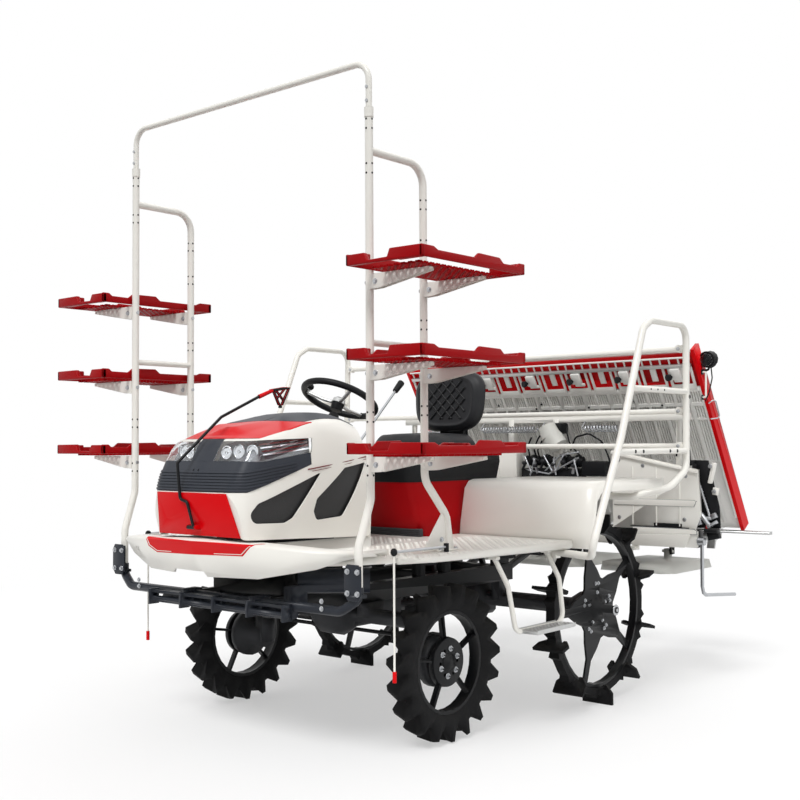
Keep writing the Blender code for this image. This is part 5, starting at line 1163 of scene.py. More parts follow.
def mirrored_line(half):
    """An outline from its half at +X."""
    return [(-x, y) for x, y in half] + [(x, y) for x, y in reversed(half)]


def top_zone(grow=0.0):
    """The prism of the red top."""
    half = [(0.067, -0.900), (0.067, -0.735), (0.214, -0.720), (0.236, -0.660), (0.270, -0.540),
            (0.286, -0.440)]
    half = [(x + grow, y) for x, y in half]
    half[-1] = (half[-1][0], half[-1][1] + grow)
    return prism(mirrored_line(half), 0.400, "XY", 1.2545 - grow + 0.200)


def nose_zone(grow=0.0):
    """The prism of the red nose."""
    bm = bmesh.new()
    add_block(bm, (0.1342 + 2 * grow, 0.300, 0.1197 + 2 * grow), (0.0, -0.850, 1.1941))
    return bm


def dash_zone(grow=0.0):
    """The prism of the dash cap."""
    half = [(x + grow, y) for x, y in ((0.240, -0.4385), (0.262, -0.300), (0.240, -0.100))]
    half[0] = (half[0][0], half[0][1] - grow)
    return prism(mirrored_line(half), 0.400, "XY", 1.270 - grow + 0.200)


print("panel gap", 1000 * PANEL_GAP, "mm")

# %% [markdown]
# The white sides are carved first: a zone for each panel, then two windows on each side with
# rounded corners. The red top is the same shell's share of its own zone.

# %% White sides and red top


def joined(*shapes):
    """Several bmeshes put into the first one."""
    for other in shapes[1:]:
        mesh = bpy.data.meshes.new("part")
        other.to_mesh(mesh)
        other.free()
        shapes[0].from_mesh(mesh)
        bpy.data.meshes.remove(mesh)
    return shapes[0]


def window_tool(line, soft, side):
    """A prism through one side; soft gives each corner's rounding."""
    outline = []
    for k, corner in enumerate(line):
        before, after = line[k - 1], line[(k + 1) % len(line)]
        if soft[k] > 0:
            arc = filleted([(0, *before), (0, *corner), (0, *after)], soft[k], 5)[1:-1]
            outline += [(v.y, v.z) for v in arc]
        else:
            outline.append(corner)
    return prism(outline, 0.20, "YZ", side * 0.34)


# each window: its corners as (y, z), and how round each corner is
WINDOWS = (
    ([(-0.775, 0.958), (-0.755, 0.923), (-0.618, 0.921), (-0.580, 0.938), (-0.433, 1.119), (-0.740, 1.000)],
     (0.030, 0.030, 0.03, 0.03, 0.004, 0.030)),
    ([(-0.462, 0.924), (-0.322, 0.934), (-0.165, 1.153), (-0.305, 1.132), (-0.462, 1.010), (-0.478, 0.960)],
     (0.018, 0.028, 0.004, 0.006, 0.020, 0.020)),
)
skin = bonnet_shell(0.0, 0.005)
for zone in (visor_zone(PANEL_GAP), lamp_zone(1, PANEL_GAP), lamp_zone(-1, PANEL_GAP), top_zone(PANEL_GAP),
             nose_zone(PANEL_GAP), dash_zone(PANEL_GAP)):
    skin = carved(skin, zone, "DIFFERENCE")
for line, soft in WINDOWS:
    for side in (1, -1):
        skin = carved(skin, window_tool(line, soft, side), "DIFFERENCE")
show("bonnet_side_panels", skin, "chassis", ["white_enamel"], 35.0, replaces=("bonnet_sides",))
show("bonnet_red_top", carved(bonnet_shell(0.0006, 0.005), top_zone(), "INTERSECT"), "chassis",
     ["red_enamel"], 35.0, replaces=("bonnet_top",))
print(2 * len(WINDOWS), "windows in the white sides")

# %% [markdown]
# Behind the two windows in each side lies black mesh. It is a second, smaller shell in a finish
# with a fine pattern of holes, which are painted near black: painted shade for the dark inside
# of the bonnet. Two planes cut off its top and its nose, where the lamps and the visor are, and
# the cuts are closed again.

# %% Windows
made, tree, sockets = base_material("grille_mesh")
steps = put(tree, "SeparateXYZ", {0: own_place(tree)}).outputs
first = calc(tree, "ADD", steps["Y"], steps["Z"])
second = calc(tree, "SUBTRACT", steps["Y"], steps["Z"])
MESH_WAVES, MESH_OPEN = 620.0, 0.38
# the wire is the mesh's own black; the near-black holes are painted shade
WIRE, PAINTED_HOLE_SHADE = (0.030, 0.030, 0.032, 1), (0.002, 0.002, 0.002, 1)
waves = [calc(tree, "ABSOLUTE", calc(tree, "SINE", calc(tree, "MULTIPLY", way, MESH_WAVES)))
         for way in (first, second)]
hole_shade_mask = calc(tree, "GREATER_THAN", calc(tree, "MINIMUM", *waves), MESH_OPEN)
tree.links.new(blend_colour(tree, hole_shade_mask, WIRE, PAINTED_HOLE_SHADE), sockets["Base Color"])
sockets["Roughness"].default_value = 0.5
liner = bonnet_shell(-0.016, 0.003)
LINER_CUTS = (((0.0, -0.775, 1.060), (0.0, -0.22, 1.0)), ((0.0, -0.790, 0.0), (0.0, -1.0, 0.0)))
for place, outward in LINER_CUTS:
    cut = bmesh.ops.bisect_plane(liner, geom=[*liner.verts, *liner.edges, *liner.faces],
                                 plane_co=at(*place), plane_no=outward, clear_outer=True)
    rims = [item for item in cut["geom_cut"] if isinstance(item, bmesh.types.BMEdge)]
    bmesh.ops.holes_fill(liner, edges=rims, sides=0)
bmesh.ops.recalc_face_normals(liner, faces=liner.faces)
show("grille_liner", liner, "chassis", ["grille_mesh"], 35.0)
print("liner behind the windows of", len(MADE), "pieces so far")

# %% [markdown]
# The visor is a dark moulding that overhangs the red nose. Its front carries seven fine ribs
# that follow it round the corners, and a stepped channel runs up its middle between the
# lamps. The ribs are slices of a slightly larger shell.

# %% Visor
VISOR_RIBS, RIB_LOW_Z, RIB_STEP, RIB_RISE = 7, 1.0485, 0.0116, 0.0352
visor = carved(bonnet_shell(0.0010, 0.008), visor_zone(), "INTERSECT")
strip = carved(carved(bonnet_shell(0.0010, 0.008), nose_zone(), "INTERSECT"), visor_zone(0.0002),
               "DIFFERENCE")
for k in range(VISOR_RIBS):
    low = RIB_LOW_Z + k * RIB_STEP
    line = [(-0.900, low), (-0.780, low), (-0.560, low + RIB_RISE), (-0.560, low + RIB_RISE + 0.0055),
            (-0.780, low + 0.0072), (-0.900, low + 0.0072)]
    rib = carved(carved(bonnet_shell(0.0042, 0.004), prism(line, 0.90, "YZ", 0.0), "INTERSECT"),
                 visor_zone(-0.001), "INTERSECT")
    visor = joined(visor, rib)
show("visor_moulding", joined(visor, strip), "chassis", ["graphite_moulded"], 35.0, replaces=("visor",))
bm = bmesh.new()
for x in (-0.030, 0.000):
    path = [(x, -0.8222, 1.050), (x, -0.7955, 1.1290), (x, -0.7780, 1.1455), (x, -0.7280, 1.2320),
            (x, -0.7080, 1.2500)]
    add_pipe(bm, path, 0.0022, 0.004, rings=2, steps=3)
show("visor_channel", bm, "chassis", ["black_moulded"])
print(VISOR_RIBS, "ribs on the visor")

# %% [markdown]
# Lamp glass lets light through with hardly any roughness, and the bowls behind it are chromed.
# These four finishes are used only here, so they are made here.

# %% Lamp finishes
made, tree, sockets = base_material("clear_lens")
sockets["Base Color"].default_value = (0.96, 0.97, 0.98, 1)
sockets["Roughness"].default_value = 0.03
sockets["IOR"].default_value = 1.45
sockets["Transmission Weight"].default_value = 1.0
finish("chrome", daylight(225, 227, 230), 0.08, metal=1.0, spread=0.04, grain_scale=60, bump=0.0, wear=0.0,
       dusty=0.0)
finish("lamp_housing", daylight(118, 120, 124), 0.26, metal=0.5, spread=0.10, bump=0.0, wear=0.0, dusty=0.0)
finish("amber_red", daylight(112, 30, 28), 0.25, coat=0.5, spread=0.05, wear=0.0, dusty=0.0)
print(len(FINISH), "finishes")

# %% [markdown]
# Each headlamp has a clear cover that follows the shell, and behind it a dark housing with
# three chromed bowls, and a row of bars that turns the corner. The cover is a thin shell of
# clear plastic; the housing is the same shell set back. A bowl is a stack of cones.

# %% Headlamps
# each bowl: the middle of its mouth and its radius
BOWLS = ((0.112, -0.742, 1.198, 0.025), (0.170, -0.728, 1.201, 0.026), (0.222, -0.705, 1.203, 0.023))
# a bowl's depth, and the share of its radius that is left there
BOWL_RINGS = ((0.0, 1.0), (0.006, 0.98), (0.016, 0.80), (0.023, 0.45), (0.026, 0.12))
LAMP_BARS = ((1.186, 0), (1.199, 1), (1.212, 0), (1.225, 1))
for side, name in SIDES:
    lens = carved(bonnet_shell(0.0004, 0.0025), lamp_zone(side), "INTERSECT")
    show("lamp_cover_" + name, lens, "chassis", ["clear_lens"], 35.0, replaces=("headlamp_" + name,))
    house = carved(bonnet_shell(-0.0300, 0.004), lamp_zone(side, 0.012), "INTERSECT")
    bm = bmesh.new()
    for x, y, z, radius in BOWLS:
        facing = Vector((side * 0.35 if x > 0.2 else side * 0.1, -1.0, 0.06)).normalized()
        mouth = Vector((side * x, y, z))
        for (deep, share), (next_deep, next_share) in zip(BOWL_RINGS, BOWL_RINGS[1:]):
            add_rod(bm, mouth - facing * next_deep, mouth - facing * deep, radius * next_share, 28,
                    end_radius=radius * share)
        level = Vector((facing.y, -facing.x, 0)).normalized()
        lip = [mouth + facing * 0.001 + level * radius * math.cos(t / 14 * math.pi)
               + Vector((0, 0, 1)) * radius * math.sin(t / 14 * math.pi) for t in range(28)]
        add_pipe(bm, lip, 0.0030, closed=True, rings=3)
        add_rod(bm, mouth - facing * 0.010, mouth + facing * 0.004, 0.0085, 16, end_radius=0.006, paint=2)
    show("lamp_bowls_" + name, bm, "chassis", ["chrome", "lamp_housing", "clear_lens"], 50.0)
    bars = bmesh.new()
    for k, (low, paint) in enumerate(LAMP_BARS):
        line = [(-0.690, low), (-0.485, low + 0.024), (-0.485, low + 0.031), (-0.690, low + 0.006)]
        strip = carved(carved(bonnet_shell(-0.008 - 0.002 * k, 0.004), prism(line, 0.20, "YZ", side * 0.34),
                              "INTERSECT"), lamp_zone(side, -0.002), "INTERSECT")
        for face in strip.faces:
            face.material_index = paint
        bars = joined(bars, strip)
    show("lamp_bars_" + name, bars, "chassis", ["chrome", "amber_red"], 35.0)
    show("lamp_housing_" + name, house, "chassis", ["lamp_housing"], 35.0)
print(len(BOWLS), "bowls and", len(LAMP_BARS), "bars in each lamp")

# %% [markdown]
# The dash closes the bonnet behind the red top: a dark cap with a seam along its middle, which
# runs on as the hood of the steering column. The column wears a rubber boot with folds. The
# cap is a slice of the shell; the hood's sections are joined by bridges.

# %% Dash and column boot
# the hood's sections: y, half width, foot and crown
HOOD = ((-0.156, 0.232, 1.288, 1.3440), (-0.120, 0.215, 1.290, 1.3445), (-0.060, 0.165, 1.286, 1.3435),
        (-0.015, 0.105, 1.279, 1.3380), (0.008, 0.070, 1.274, 1.3270))
SEAM = ((-0.436, 1.3295), (-0.350, 1.3510), (-0.270, 1.3660), (-0.200, 1.3590), (-0.152, 1.3440),
        (-0.060, 1.3430), (0.006, 1.3270))
bm = carved(bonnet_shell(0.0012, 0.006), dash_zone(), "INTERSECT")
rings = []
for y, half, low, high in HOOD:
    ring = []
    for k in range(13):
        turn = math.pi * k / 12
        ring.append((half * math.cos(turn), y, low + (high - low) * math.sin(turn) ** 0.7))
    rings.append([bm.verts.new(at(*corner)) for corner in ring])
before = len(bm.faces)
loops = [bm.edges.new((ring[k], ring[(k + 1) % 13])) for ring in rings for k in range(13)]
for k in range(len(rings) - 1):
    bmesh.ops.bridge_loops(bm, edges=loops[13 * k:13 * (k + 2)])
bmesh.ops.holes_fill(bm, edges=[e for e in loops if len(e.link_faces) == 1], sides=0)
bm.faces.ensure_lookup_table()
bmesh.ops.recalc_face_normals(bm, faces=bm.faces[before:])
seam = [(0.0, y, z + 0.0008) for y, z in SEAM]
add_pipe(bm, seam, 0.0022, 0.01, paint=1, rings=2, steps=3)
foot, top = Vector((0.0, -0.086, 1.214)), COLUMN_TOP
along = (top - foot).normalized()
for k in range(7):
    start = foot + along * (0.060 + 0.0155 * k)
    add_rod(bm, start, start + along * 0.0155, 0.036 - 0.0015 * k, 24, end_radius=0.031 - 0.0015 * k,
            paint=1)
add_rod(bm, foot, top - along * 0.0005, 0.027, 24, end_radius=0.020, paint=1)
show("dash_cap", bm, "chassis", ["graphite_moulded", "black_moulded"], 35.0, replaces=("dash",))
print("dash cap with a hood of", len(HOOD), "sections")

# %% [markdown]
# Under the visor sits the red front panel, a moulding with softly rounded edges and a sunken
# row of vents. It is a box with its front leaned back, its edges bevelled, and the recess
# cut by a Boolean. Two ears on it hold the pin of the centre marker.

# %% Front panel


def lean_y(z):
    """The front leans back as it rises."""
    return -0.785 - 0.045 / 0.184 * (z - 0.862)


bm = bmesh.new()
outline = [(-0.247, 0.868), (0.247, 0.868), (0.210, 1.040), (-0.210, 1.040)]
add_outline(bm, outline, 0.0085, "XZ", 0.0, edge=0.0025)
for vert in bm.verts:
    vert.co.y += lean_y(vert.co.z) - 0.0055
recess = [(-0.181, 0.932), (0.115, 0.923), (0.161, 0.898), (-0.164, 0.898)]
panel = carved(bm, prism(recess, 0.0100, "XZ", -0.8160, edge=0.002), "DIFFERENCE")
for k in range(5):
    z = 0.9020 + k * 0.0060
    add_rod(panel, (-0.158 - k * 0.003, lean_y(z) - 0.0060, z), (0.140 - k * 0.006, lean_y(z) - 0.0060, z),
            0.0018, 8, paint=1)
for side in (1, -1):
    root = lean_y(0.903) - 0.004
    ear = [(root, 0.892), (-0.832, 0.894), (-0.839, 0.903), (-0.832, 0.912), (root, 0.914)]
    add_outline(panel, ear, 0.0035, "YZ", side * 0.0235, paint=1, edge=0.001)
show("front_panel", panel, "chassis", ["red_enamel", "dark_red_trim"], 35.0, replaces=("bonnet_front",))
print("front panel with five dark strips in its recess")

# %% [markdown]
# Paint films and thin covers lie on a solid's own skin. Laid as a separate sheet they would
# flicker through its facets, so a copy of the solid is grown by a millimetre or two and only
# the part inside a prism is kept. The apron's red panel with its white pin-stripe is made so,
# and so is a black film over the upper band of the seat base: on the base's front it is
# painted shade, and on its top it stands for the black cover under the seat.

# %% Films on the solids
PANEL_LINE = [(-0.314, 0.850), (-0.306, 0.812), (-0.254, 0.788), (0.276, 0.802), (0.340, 0.849)]
PIN_STRIPES = (
    [(-0.306, 0.842), (-0.299, 0.8155), (-0.251, 0.7935), (-0.150, 0.7960), (-0.150, 0.7985),
     (-0.250, 0.7965), (-0.295, 0.8175), (-0.302, 0.842)],
    [(0.120, 0.8030), (0.271, 0.8070), (0.327, 0.8445), (0.3225, 0.8445), (0.269, 0.8098), (0.120, 0.8055)],
)
SHADE_LOW, SHADE_TOP = 1.052, 1.176


def film(node, outward, tool):
    """The part of a node's skin inside the tool, moved out a little."""
    bm = bmesh.new()
    bm.from_mesh(NODES[node].data)
    bmesh.ops.remove_doubles(bm, verts=bm.verts, dist=1e-5)
    bm.normal_update()
    for vert, move in [(v, v.normal.copy() * outward) for v in bm.verts]:
        vert.co += move
    return carved(bm, tool, "INTERSECT")


def apron_film(outline, outward):
    """The part of the apron inside an (x, z) outline, moved out a little."""
    return film("front_apron", outward, prism(outline, 0.110, "XZ", -0.800))


# the black film on the seat base: painted shade on its front, the black cover under the seat on its top
tool = bmesh.new()
add_block(tool, (2.0, 2.0, SHADE_TOP - SHADE_LOW), (0.0, 0.5, (SHADE_LOW + SHADE_TOP) / 2))
show("seat_base_painted_shade", film("seat_base", 0.0022, tool), "chassis", ["black_moulded"], 40.0)
show("apron_panel", apron_film(PANEL_LINE, 0.0008), "chassis", ["red_enamel"], 40.0)
bm = joined(*(apron_film(line, 0.0014) for line in PIN_STRIPES))
show("apron_pin_stripe", bm, "chassis", ["white_enamel"], 40.0)
print("three films")

# %% [markdown]
# A dark-red line runs along each side of the bonnet, with a hairline under it. The shell is
# curved, so each point of the line is found with a ray that meets the bonnet's side.

# %% Side lines


def skin_of(node):
    """A search tree of a solid's faces, to lay thin trim on them."""
    bm = bmesh.new()
    bm.from_mesh(NODES[node].data)
    found = BVHTree.FromBMesh(bm)
    bm.free()
    return found


BONNET_SKIN = skin_of("bonnet_sides")


def on_bonnet(side, y, z, outward=0.0005):
    """The nearest place of the bonnet's side to (y, z)."""
    spot = BONNET_SKIN.ray_cast(at(side * 0.6, y, z), Vector((-side, 0, 0)))[0]
    return (spot.x + side * outward if spot else side * 0.33, y, z)


bm = bmesh.new()
for side in (1, -1):
    line = [(-0.504 + 0.371 * t / 12, 1.129 + 0.050 * t / 12) for t in range(13)]
    add_pipe(bm, [on_bonnet(side, y, z) for y, z in line], 0.0022, rings=2)
    add_pipe(bm, [on_bonnet(side, y + 0.02, z - 0.0075) for y, z in line[:-1]], 0.0010, rings=2)
show("bonnet_side_line", bm, "chassis", ["dark_red_trim"])
print("a line on each side of the bonnet")

# %% [markdown]
# The centre marker is a bent black rod with a red sight at its end: an open triangle on a
# short post, which the driver lines up with the last row. The row markers at the front are
# thin white rods on black ball pivots, with red tips that reach down to the field. The balls
# are short cones on one another.

# %% Markers
MARKER_FOOT, MARKER_TIP = (0.768, -0.170), (0.753, -0.471)
bm = bmesh.new()
rod_line = [(0.015, -0.831, 0.903), (-0.022, -0.834, 1.003), (-0.058, -0.840, 1.014),
            (-0.061, -0.852, 1.158), (-0.004, -0.672, 1.343), (0.0, -0.455, 1.438)]
add_pipe(bm, rod_line, 0.0062, 0.016, rings=4)
add_rod(bm, (-0.0200, -0.830, 0.903), (0.0200, -0.830, 0.903), 0.0075, 16)
add_rod(bm, (0.0, -0.468, 1.432), (0.0, -0.392, 1.460), 0.0095, 16, end_radius=0.0080, paint=1)
sight = ([(-0.405, 1.452), (-0.295, 1.470), (-0.288, 1.478), (-0.330, 1.478), (-0.405, 1.466)],
         [(-0.300, 1.474), (-0.288, 1.476), (-0.331, 1.398), (-0.343, 1.398)],
         [(-0.392, 1.462), (-0.380, 1.462), (-0.345, 1.398), (-0.357, 1.398)],
         [(-0.375, 1.462), (-0.366, 1.464), (-0.325, 1.424), (-0.331, 1.418)],
         [(-0.318, 1.466), (-0.326, 1.468), (-0.368, 1.430), (-0.362, 1.424)])
for line in sight:
    add_outline(bm, line, 0.011, "YZ", 0.0, paint=1, edge=0.0012)
add_rod(bm, (0.0, -0.345, 1.400), (0.0, -0.345, 1.387), 0.0070, 12)
add_rod(bm, (0.0, -0.352, 1.391), (0.0, -0.338, 1.391), 0.0050, 12)
show("centre_marker_rod", bm, "centre_marker", ["black_enamel", "red_enamel"], replaces=("centre_marker",))
for side, name in SIDES:
    bm = bmesh.new()
    x, y = side * MARKER_FOOT[0], MARKER_FOOT[1]
    tip = (side * MARKER_TIP[0], MARKER_TIP[1])
    add_rod(bm, (x, y, 0.8006), (x, y, 0.834), 0.0105, 16, paint=1, chamfer=0.001)
    add_pipe(bm, [(x, y, 0.820), (*tip, 0.820)], 0.0055, rings=3, paint=3)
    for low, high, first, last in ((0.806, 0.812, 0.007, 0.012), (0.812, 0.820, 0.012, 0.0135),
                                   (0.820, 0.828, 0.0135, 0.012), (0.828, 0.834, 0.012, 0.006)):
        add_rod(bm, (*tip, low), (*tip, high), first, 20, end_radius=last, paint=1)
    add_pipe(bm, [(*tip, 0.805), (*tip, 0.372)], 0.0042, rings=3)
    add_rod(bm, (*tip, 0.330), (*tip, 0.372), 0.0080, 14, paint=2, chamfer=0.002)
    show("row_marker_rod_" + name, bm, "row_marker_" + name,
         ["white_enamel", "black_moulded", "red_enamel", "zinc_steel"],
         replaces=("row_marker_" + name,))
print("centre marker and two row markers")

# %% [markdown]
# A step hangs under each edge of the deck: one bent tube, closed by flat lugs bolted under the
# deck, and a tread of folded plate with a raised, punched grip. The grip is rows of small
# cones on the plate, as a boot needs.

# %% Steps
for side, name in SIDES:
    bm = bmesh.new()
    x, inner = side * 0.856, side * 0.790
    add_pipe(bm, [(inner, 0.122, 0.755), (x, 0.127, 0.640), (x, 0.180, 0.446), (x, 0.545, 0.446),
                  (x, 0.512, 0.640), (inner, 0.512, 0.755)], 0.0108, 0.045, rings=5)
    add_block(bm, (0.106, 0.296, 0.016), (side * 0.890, 0.360, 0.4460), 0.004, paint=1)
    for edge_x in (0.8385, 0.9415):
        add_block(bm, (0.004, 0.292, 0.011), (side * edge_x, 0.360, 0.4515), 0.0012, paint=1)
    for row in range(4):
        for k in range(11):
            spot = (side * (0.856 + 0.0225 * row), 0.232 + 0.0256 * k, 0.4538)
            add_rod(bm, spot, (spot[0], spot[1], 0.4568), 0.0048, 8, end_radius=0.0028, paint=1)
    for y in (0.122, 0.512):
        add_block(bm, (0.042, 0.028, 0.014), (inner, y, 0.7535), 0.003)
        hex_bolt(bm, (inner + side * 0.012, y, 0.7465), (0, 0, -1), 0.012, 0.006, paint=2)
    show("step_tube_" + name, bm, "chassis", ["white_enamel", "mill_aluminium", "zinc_steel"],
         replaces=("step_" + name,))
print("two steps")

# %% [markdown]
# The front wheels have a closed hub disc with a ring of silver bolts, and the rear ones a
# boss with a bolted flange. The bolts are hexagons with a washer, set in a ring round
# the axle by rotation.

# %% Wheel bolts
FRONT_HUB = (0.618, 0.0, 0.325)
REAR_HUB = (0.8590, 0.993, 0.446)
# rings of bolts on the rear plate: radius, and the turn away from each arm
REAR_BOLTS = ((0.075, 0.0), (0.118, 0.10), (0.118, -0.10), (0.260, 0.0))
REAR_WHEEL_SKINS = {name: skin_of("wheel_rear_" + name) for side, name in SIDES}
for side, name in SIDES:
    axis = Vector((side, 0, 0))
    bm = bmesh.new()
    hub = Vector((side * FRONT_HUB[0], *FRONT_HUB[1:]))
    add_rod(bm, hub, hub + axis * 0.026, 0.104, 48, end_radius=0.100, chamfer=0.003)
    add_rod(bm, hub + axis * 0.026, hub + axis * 0.036, 0.034, 32, end_radius=0.028, chamfer=0.002)
    for k in range(6):
        turn = math.radians(60 * k + 20)
        spot = hub + axis * 0.026 + Vector((0, math.cos(turn), math.sin(turn))) * 0.056
        add_rod(bm, spot, spot + axis * 0.0020, 0.0125, 20, paint=1)
        hex_bolt(bm, spot + axis * 0.0020, axis, 0.014, 0.008, paint=1)
        add_rod(bm, spot + axis * 0.010, spot + axis * 0.0125, 0.0038, 10, paint=0)
    show("hub_disc_front_" + name, bm, NODES["wheel_front_" + name]["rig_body"],
         ["black_enamel", "zinc_steel"], 35.0)
    bm = bmesh.new()
    hub = Vector((side * REAR_HUB[0], *REAR_HUB[1:]))
    add_rod(bm, hub, hub + axis * 0.004, 0.026, 32, end_radius=0.024, paint=1)
    add_rod(bm, hub + axis * 0.004, hub + axis * 0.007, 0.015, 24, paint=0)
    add_rod(bm, hub + axis * 0.005, hub + axis * 0.009, 0.008, 16, paint=1)
    for k in range(5):
        for reach, bend in REAR_BOLTS:
            turn = math.radians(72 * k + 90) + bend
            spot = (side * 1.0, hub.y + math.cos(turn) * reach, hub.z + math.sin(turn) * reach)
            met = REAR_WHEEL_SKINS[name].ray_cast(at(*spot), -axis)[0]
            if met:
                place = (met.x, spot[1], spot[2])
                hex_bolt(bm, place, axis, 0.011, 0.006, paint=1)
    show("hub_flange_rear_" + name, bm, NODES["wheel_rear_" + name]["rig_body"],
         ["black_enamel", "zinc_steel"], 35.0)
print("bolts on four hubs")

# %% [markdown]
# The back of the seedling tray faces the driver. Its moulding has close ribs, a red band
# under the top edge with white loops that leave U-shaped openings, and rails. All of it is
# set out on the tray's slope, so one helper turns a length along the slope and a height off
# it into a place.

# %% The tray's slope
TRAY_RUN, TRAY_FALL = 0.570, 0.940
SLOPE_TURN = Matrix.Rotation(math.atan2(-TRAY_FALL, TRAY_RUN), 3, "X")
TRAY_LONG = math.hypot(TRAY_RUN, TRAY_FALL)
TRAY_HALF, TRAY_EDGE = 0.940, 0.944


def on_slope(x, along, out):
    """x, the way down from the tray's top edge, and the height off its upper face."""
    run, fall = TRAY_RUN / TRAY_LONG, -TRAY_FALL / TRAY_LONG
    return (x, 1.640 + along * run - out * fall, 1.700 + along * fall + out * run)


def slope_strip(bm, x0, x1, s0, s1, w0, w1, paint=0, edge=0.0):
    """A block set out along the tray's slope, between two heights off it."""
    add_block(bm, (x1 - x0, s1 - s0, w1 - w0), on_slope((x0 + x1) / 2, (s0 + s1) / 2, (w0 + w1) / 2), edge,
              turn=SLOPE_TURN, paint=paint)


print("the tray's slope is", round(TRAY_LONG, 3), "m long")

# %% [markdown]
# Close ribs stiffen the moulding, and a deeper one stands between half lanes. Under the top
# edge, four strips frame each U-shaped opening, with a ladder of small bars above. Six
# clips with black knobs hold the tray to its rail.

# %% Back of the seedling tray
RIBS, HALF_LANES = 130, 12
CLIPS_X = (-0.663, -0.363, -0.063, 0.237, 0.537, 0.837)
bm = bmesh.new()
for k in range(RIBS):
    x = -TRAY_HALF + (k + 0.5) * 2 * TRAY_HALF / RIBS
    slope_strip(bm, x - 0.0036, x + 0.0036, 0.234, 0.660, -0.0090, 0.0010)
for k in range(HALF_LANES + 1):
    x = -TRAY_HALF + k * 2 * TRAY_HALF / HALF_LANES
    x0, x1 = max(x - 0.005, -TRAY_EDGE), min(x + 0.005, TRAY_EDGE)
    slope_strip(bm, x0, x1, 0.205, 1.020, -0.0165, -0.0005)
slope_strip(bm, -TRAY_EDGE, TRAY_EDGE, 0.300, 0.318, -0.0150, -0.0005)
slope_strip(bm, -TRAY_EDGE, TRAY_EDGE, 0.395, 0.405, -0.0130, -0.0005)
step = 2 * TRAY_HALF / HALF_LANES
for k in range(HALF_LANES):
    x0 = -TRAY_HALF + k * step
    slope_strip(bm, x0 + 0.006, x0 + 0.020, 0.085, 0.214, -0.0195, -0.0122, 0, 0.001)
    slope_strip(bm, x0 + step - 0.026, x0 + step - 0.012, 0.085, 0.214, -0.0195, -0.0122, 0, 0.001)
    slope_strip(bm, x0 + step / 2 - 0.017, x0 + step / 2 + 0.017, 0.085, 0.162, -0.0185, -0.0122, 0, 0.001)
    slope_strip(bm, x0 + 0.006, x0 + step - 0.012, 0.186, 0.214, -0.0190, -0.0122, 0, 0.001)
add_pipe(bm, [on_slope(-0.930, 0.030, -0.020), on_slope(0.930, 0.030, -0.020)], 0.0050, rings=2)
slope_strip(bm, -0.930, 0.930, 0.066, 0.084, -0.0300, -0.0125, 1, 0.002)
for k in range(36):
    x = -0.915 + k * 0.0523
    slope_strip(bm, x - 0.004, x + 0.004, 0.033, 0.066, -0.0180, -0.0120, 0)
for x in CLIPS_X:
    slope_strip(bm, x - 0.028, x + 0.028, 0.086, 0.150, -0.0400, -0.0195, 0, 0.004)
    slope_strip(bm, x - 0.020, x + 0.040, 0.150, 0.168, -0.0300, -0.0195, 0, 0.003)
    spot = Vector(on_slope(x - 0.022, 0.128, -0.040))
    ahead = Vector((-0.3, -0.85, -0.2)).normalized()
    add_rod(bm, spot, spot + ahead * 0.012, 0.008, 14, paint=2)
    add_rod(bm, spot + ahead * 0.010, spot + ahead * 0.030, 0.0165, 18, end_radius=0.019, paint=2,
            chamfer=0.002)
    slope_strip(bm, x - 0.012, x + 0.020, 0.240, 0.270, -0.0075, -0.0005, 0, 0.001)
    add_rod(bm, on_slope(x, 0.285, -0.0005), on_slope(x, 0.285, -0.0100), 0.006, 10, paint=2)
for x in (-0.700, -0.100, 0.250, 0.700):
    add_rod(bm, on_slope(x, 0.309, -0.0150), on_slope(x, 0.309, -0.0190), 0.0060, 10, paint=2)
show("tray_back", bm, "tray", ["tray_white", "mill_aluminium", "black_moulded"], 30.0)
print(RIBS, "ribs and", len(CLIPS_X), "clips on the tray")

# %% [markdown]
# At the left end of the tray a round work lamp stands on a white post. Seven thin discs make
# its cooling fins, a cable runs down from it to the red strip, and a wire stay hooks below.

# %% Work lamp
LAMP_X, FIN_STEP = 0.998, 0.0055
bm = bmesh.new()
add_pipe(bm, [(0.968, 1.716, 1.590), (0.986, 1.716, 1.590), (0.986, 1.712, 1.460), (0.9665, 1.712, 1.460)],
         0.0050, 0.012, rings=3)
for z in (1.590, 1.460):
    add_block(bm, (0.004, 0.026, 0.026), (0.9675, 1.714, z), 0.001, paint=1)
for k in range(7):
    y = 1.7005 + FIN_STEP * k
    add_rod(bm, (LAMP_X, y, 1.6525), (LAMP_X, y + 0.0028, 1.6530), 0.0425, 28, paint=1)
add_rod(bm, (LAMP_X, 1.6950, 1.6513), (LAMP_X, 1.6925, 1.6510), 0.0330, 32, end_radius=0.0310, paint=2)
add_pipe(bm, [(LAMP_X, 1.746, 1.640), (1.003, 1.752, 1.560), (0.994, 1.730, 1.480), (0.9700, 1.735, 1.440)],
         0.0032, 0.03, paint=1, rings=3)
add_pipe(bm, [(0.9690, 1.775, 1.430), (1.0000, 1.790, 1.4550), (1.0000, 1.845, 1.3560),
              (0.9690, 1.800, 1.3500)], 0.0034, 0.015, paint=3, rings=3)
show("work_lamp_trim", bm, "tray", ["white_enamel", "black_moulded", "clear_lens", "zinc_steel"], 35.0)
print("work lamp at x", LAMP_X)

# %% [markdown]
# Three long springs carry the tray's weight. A spring is a helix of points with a round bevel,
# and its hooks reach up to the rail.

# %% Springs
SPRING_Y, SPRING_Z = 1.560, 1.306
SPRING_R, SPRING_WIRE, SPRING_PITCH = 0.0165, 0.0038, 0.0175
SPRINGS_X = ((-0.310, 0.045), (0.365, 0.565), (-0.760, -0.520))


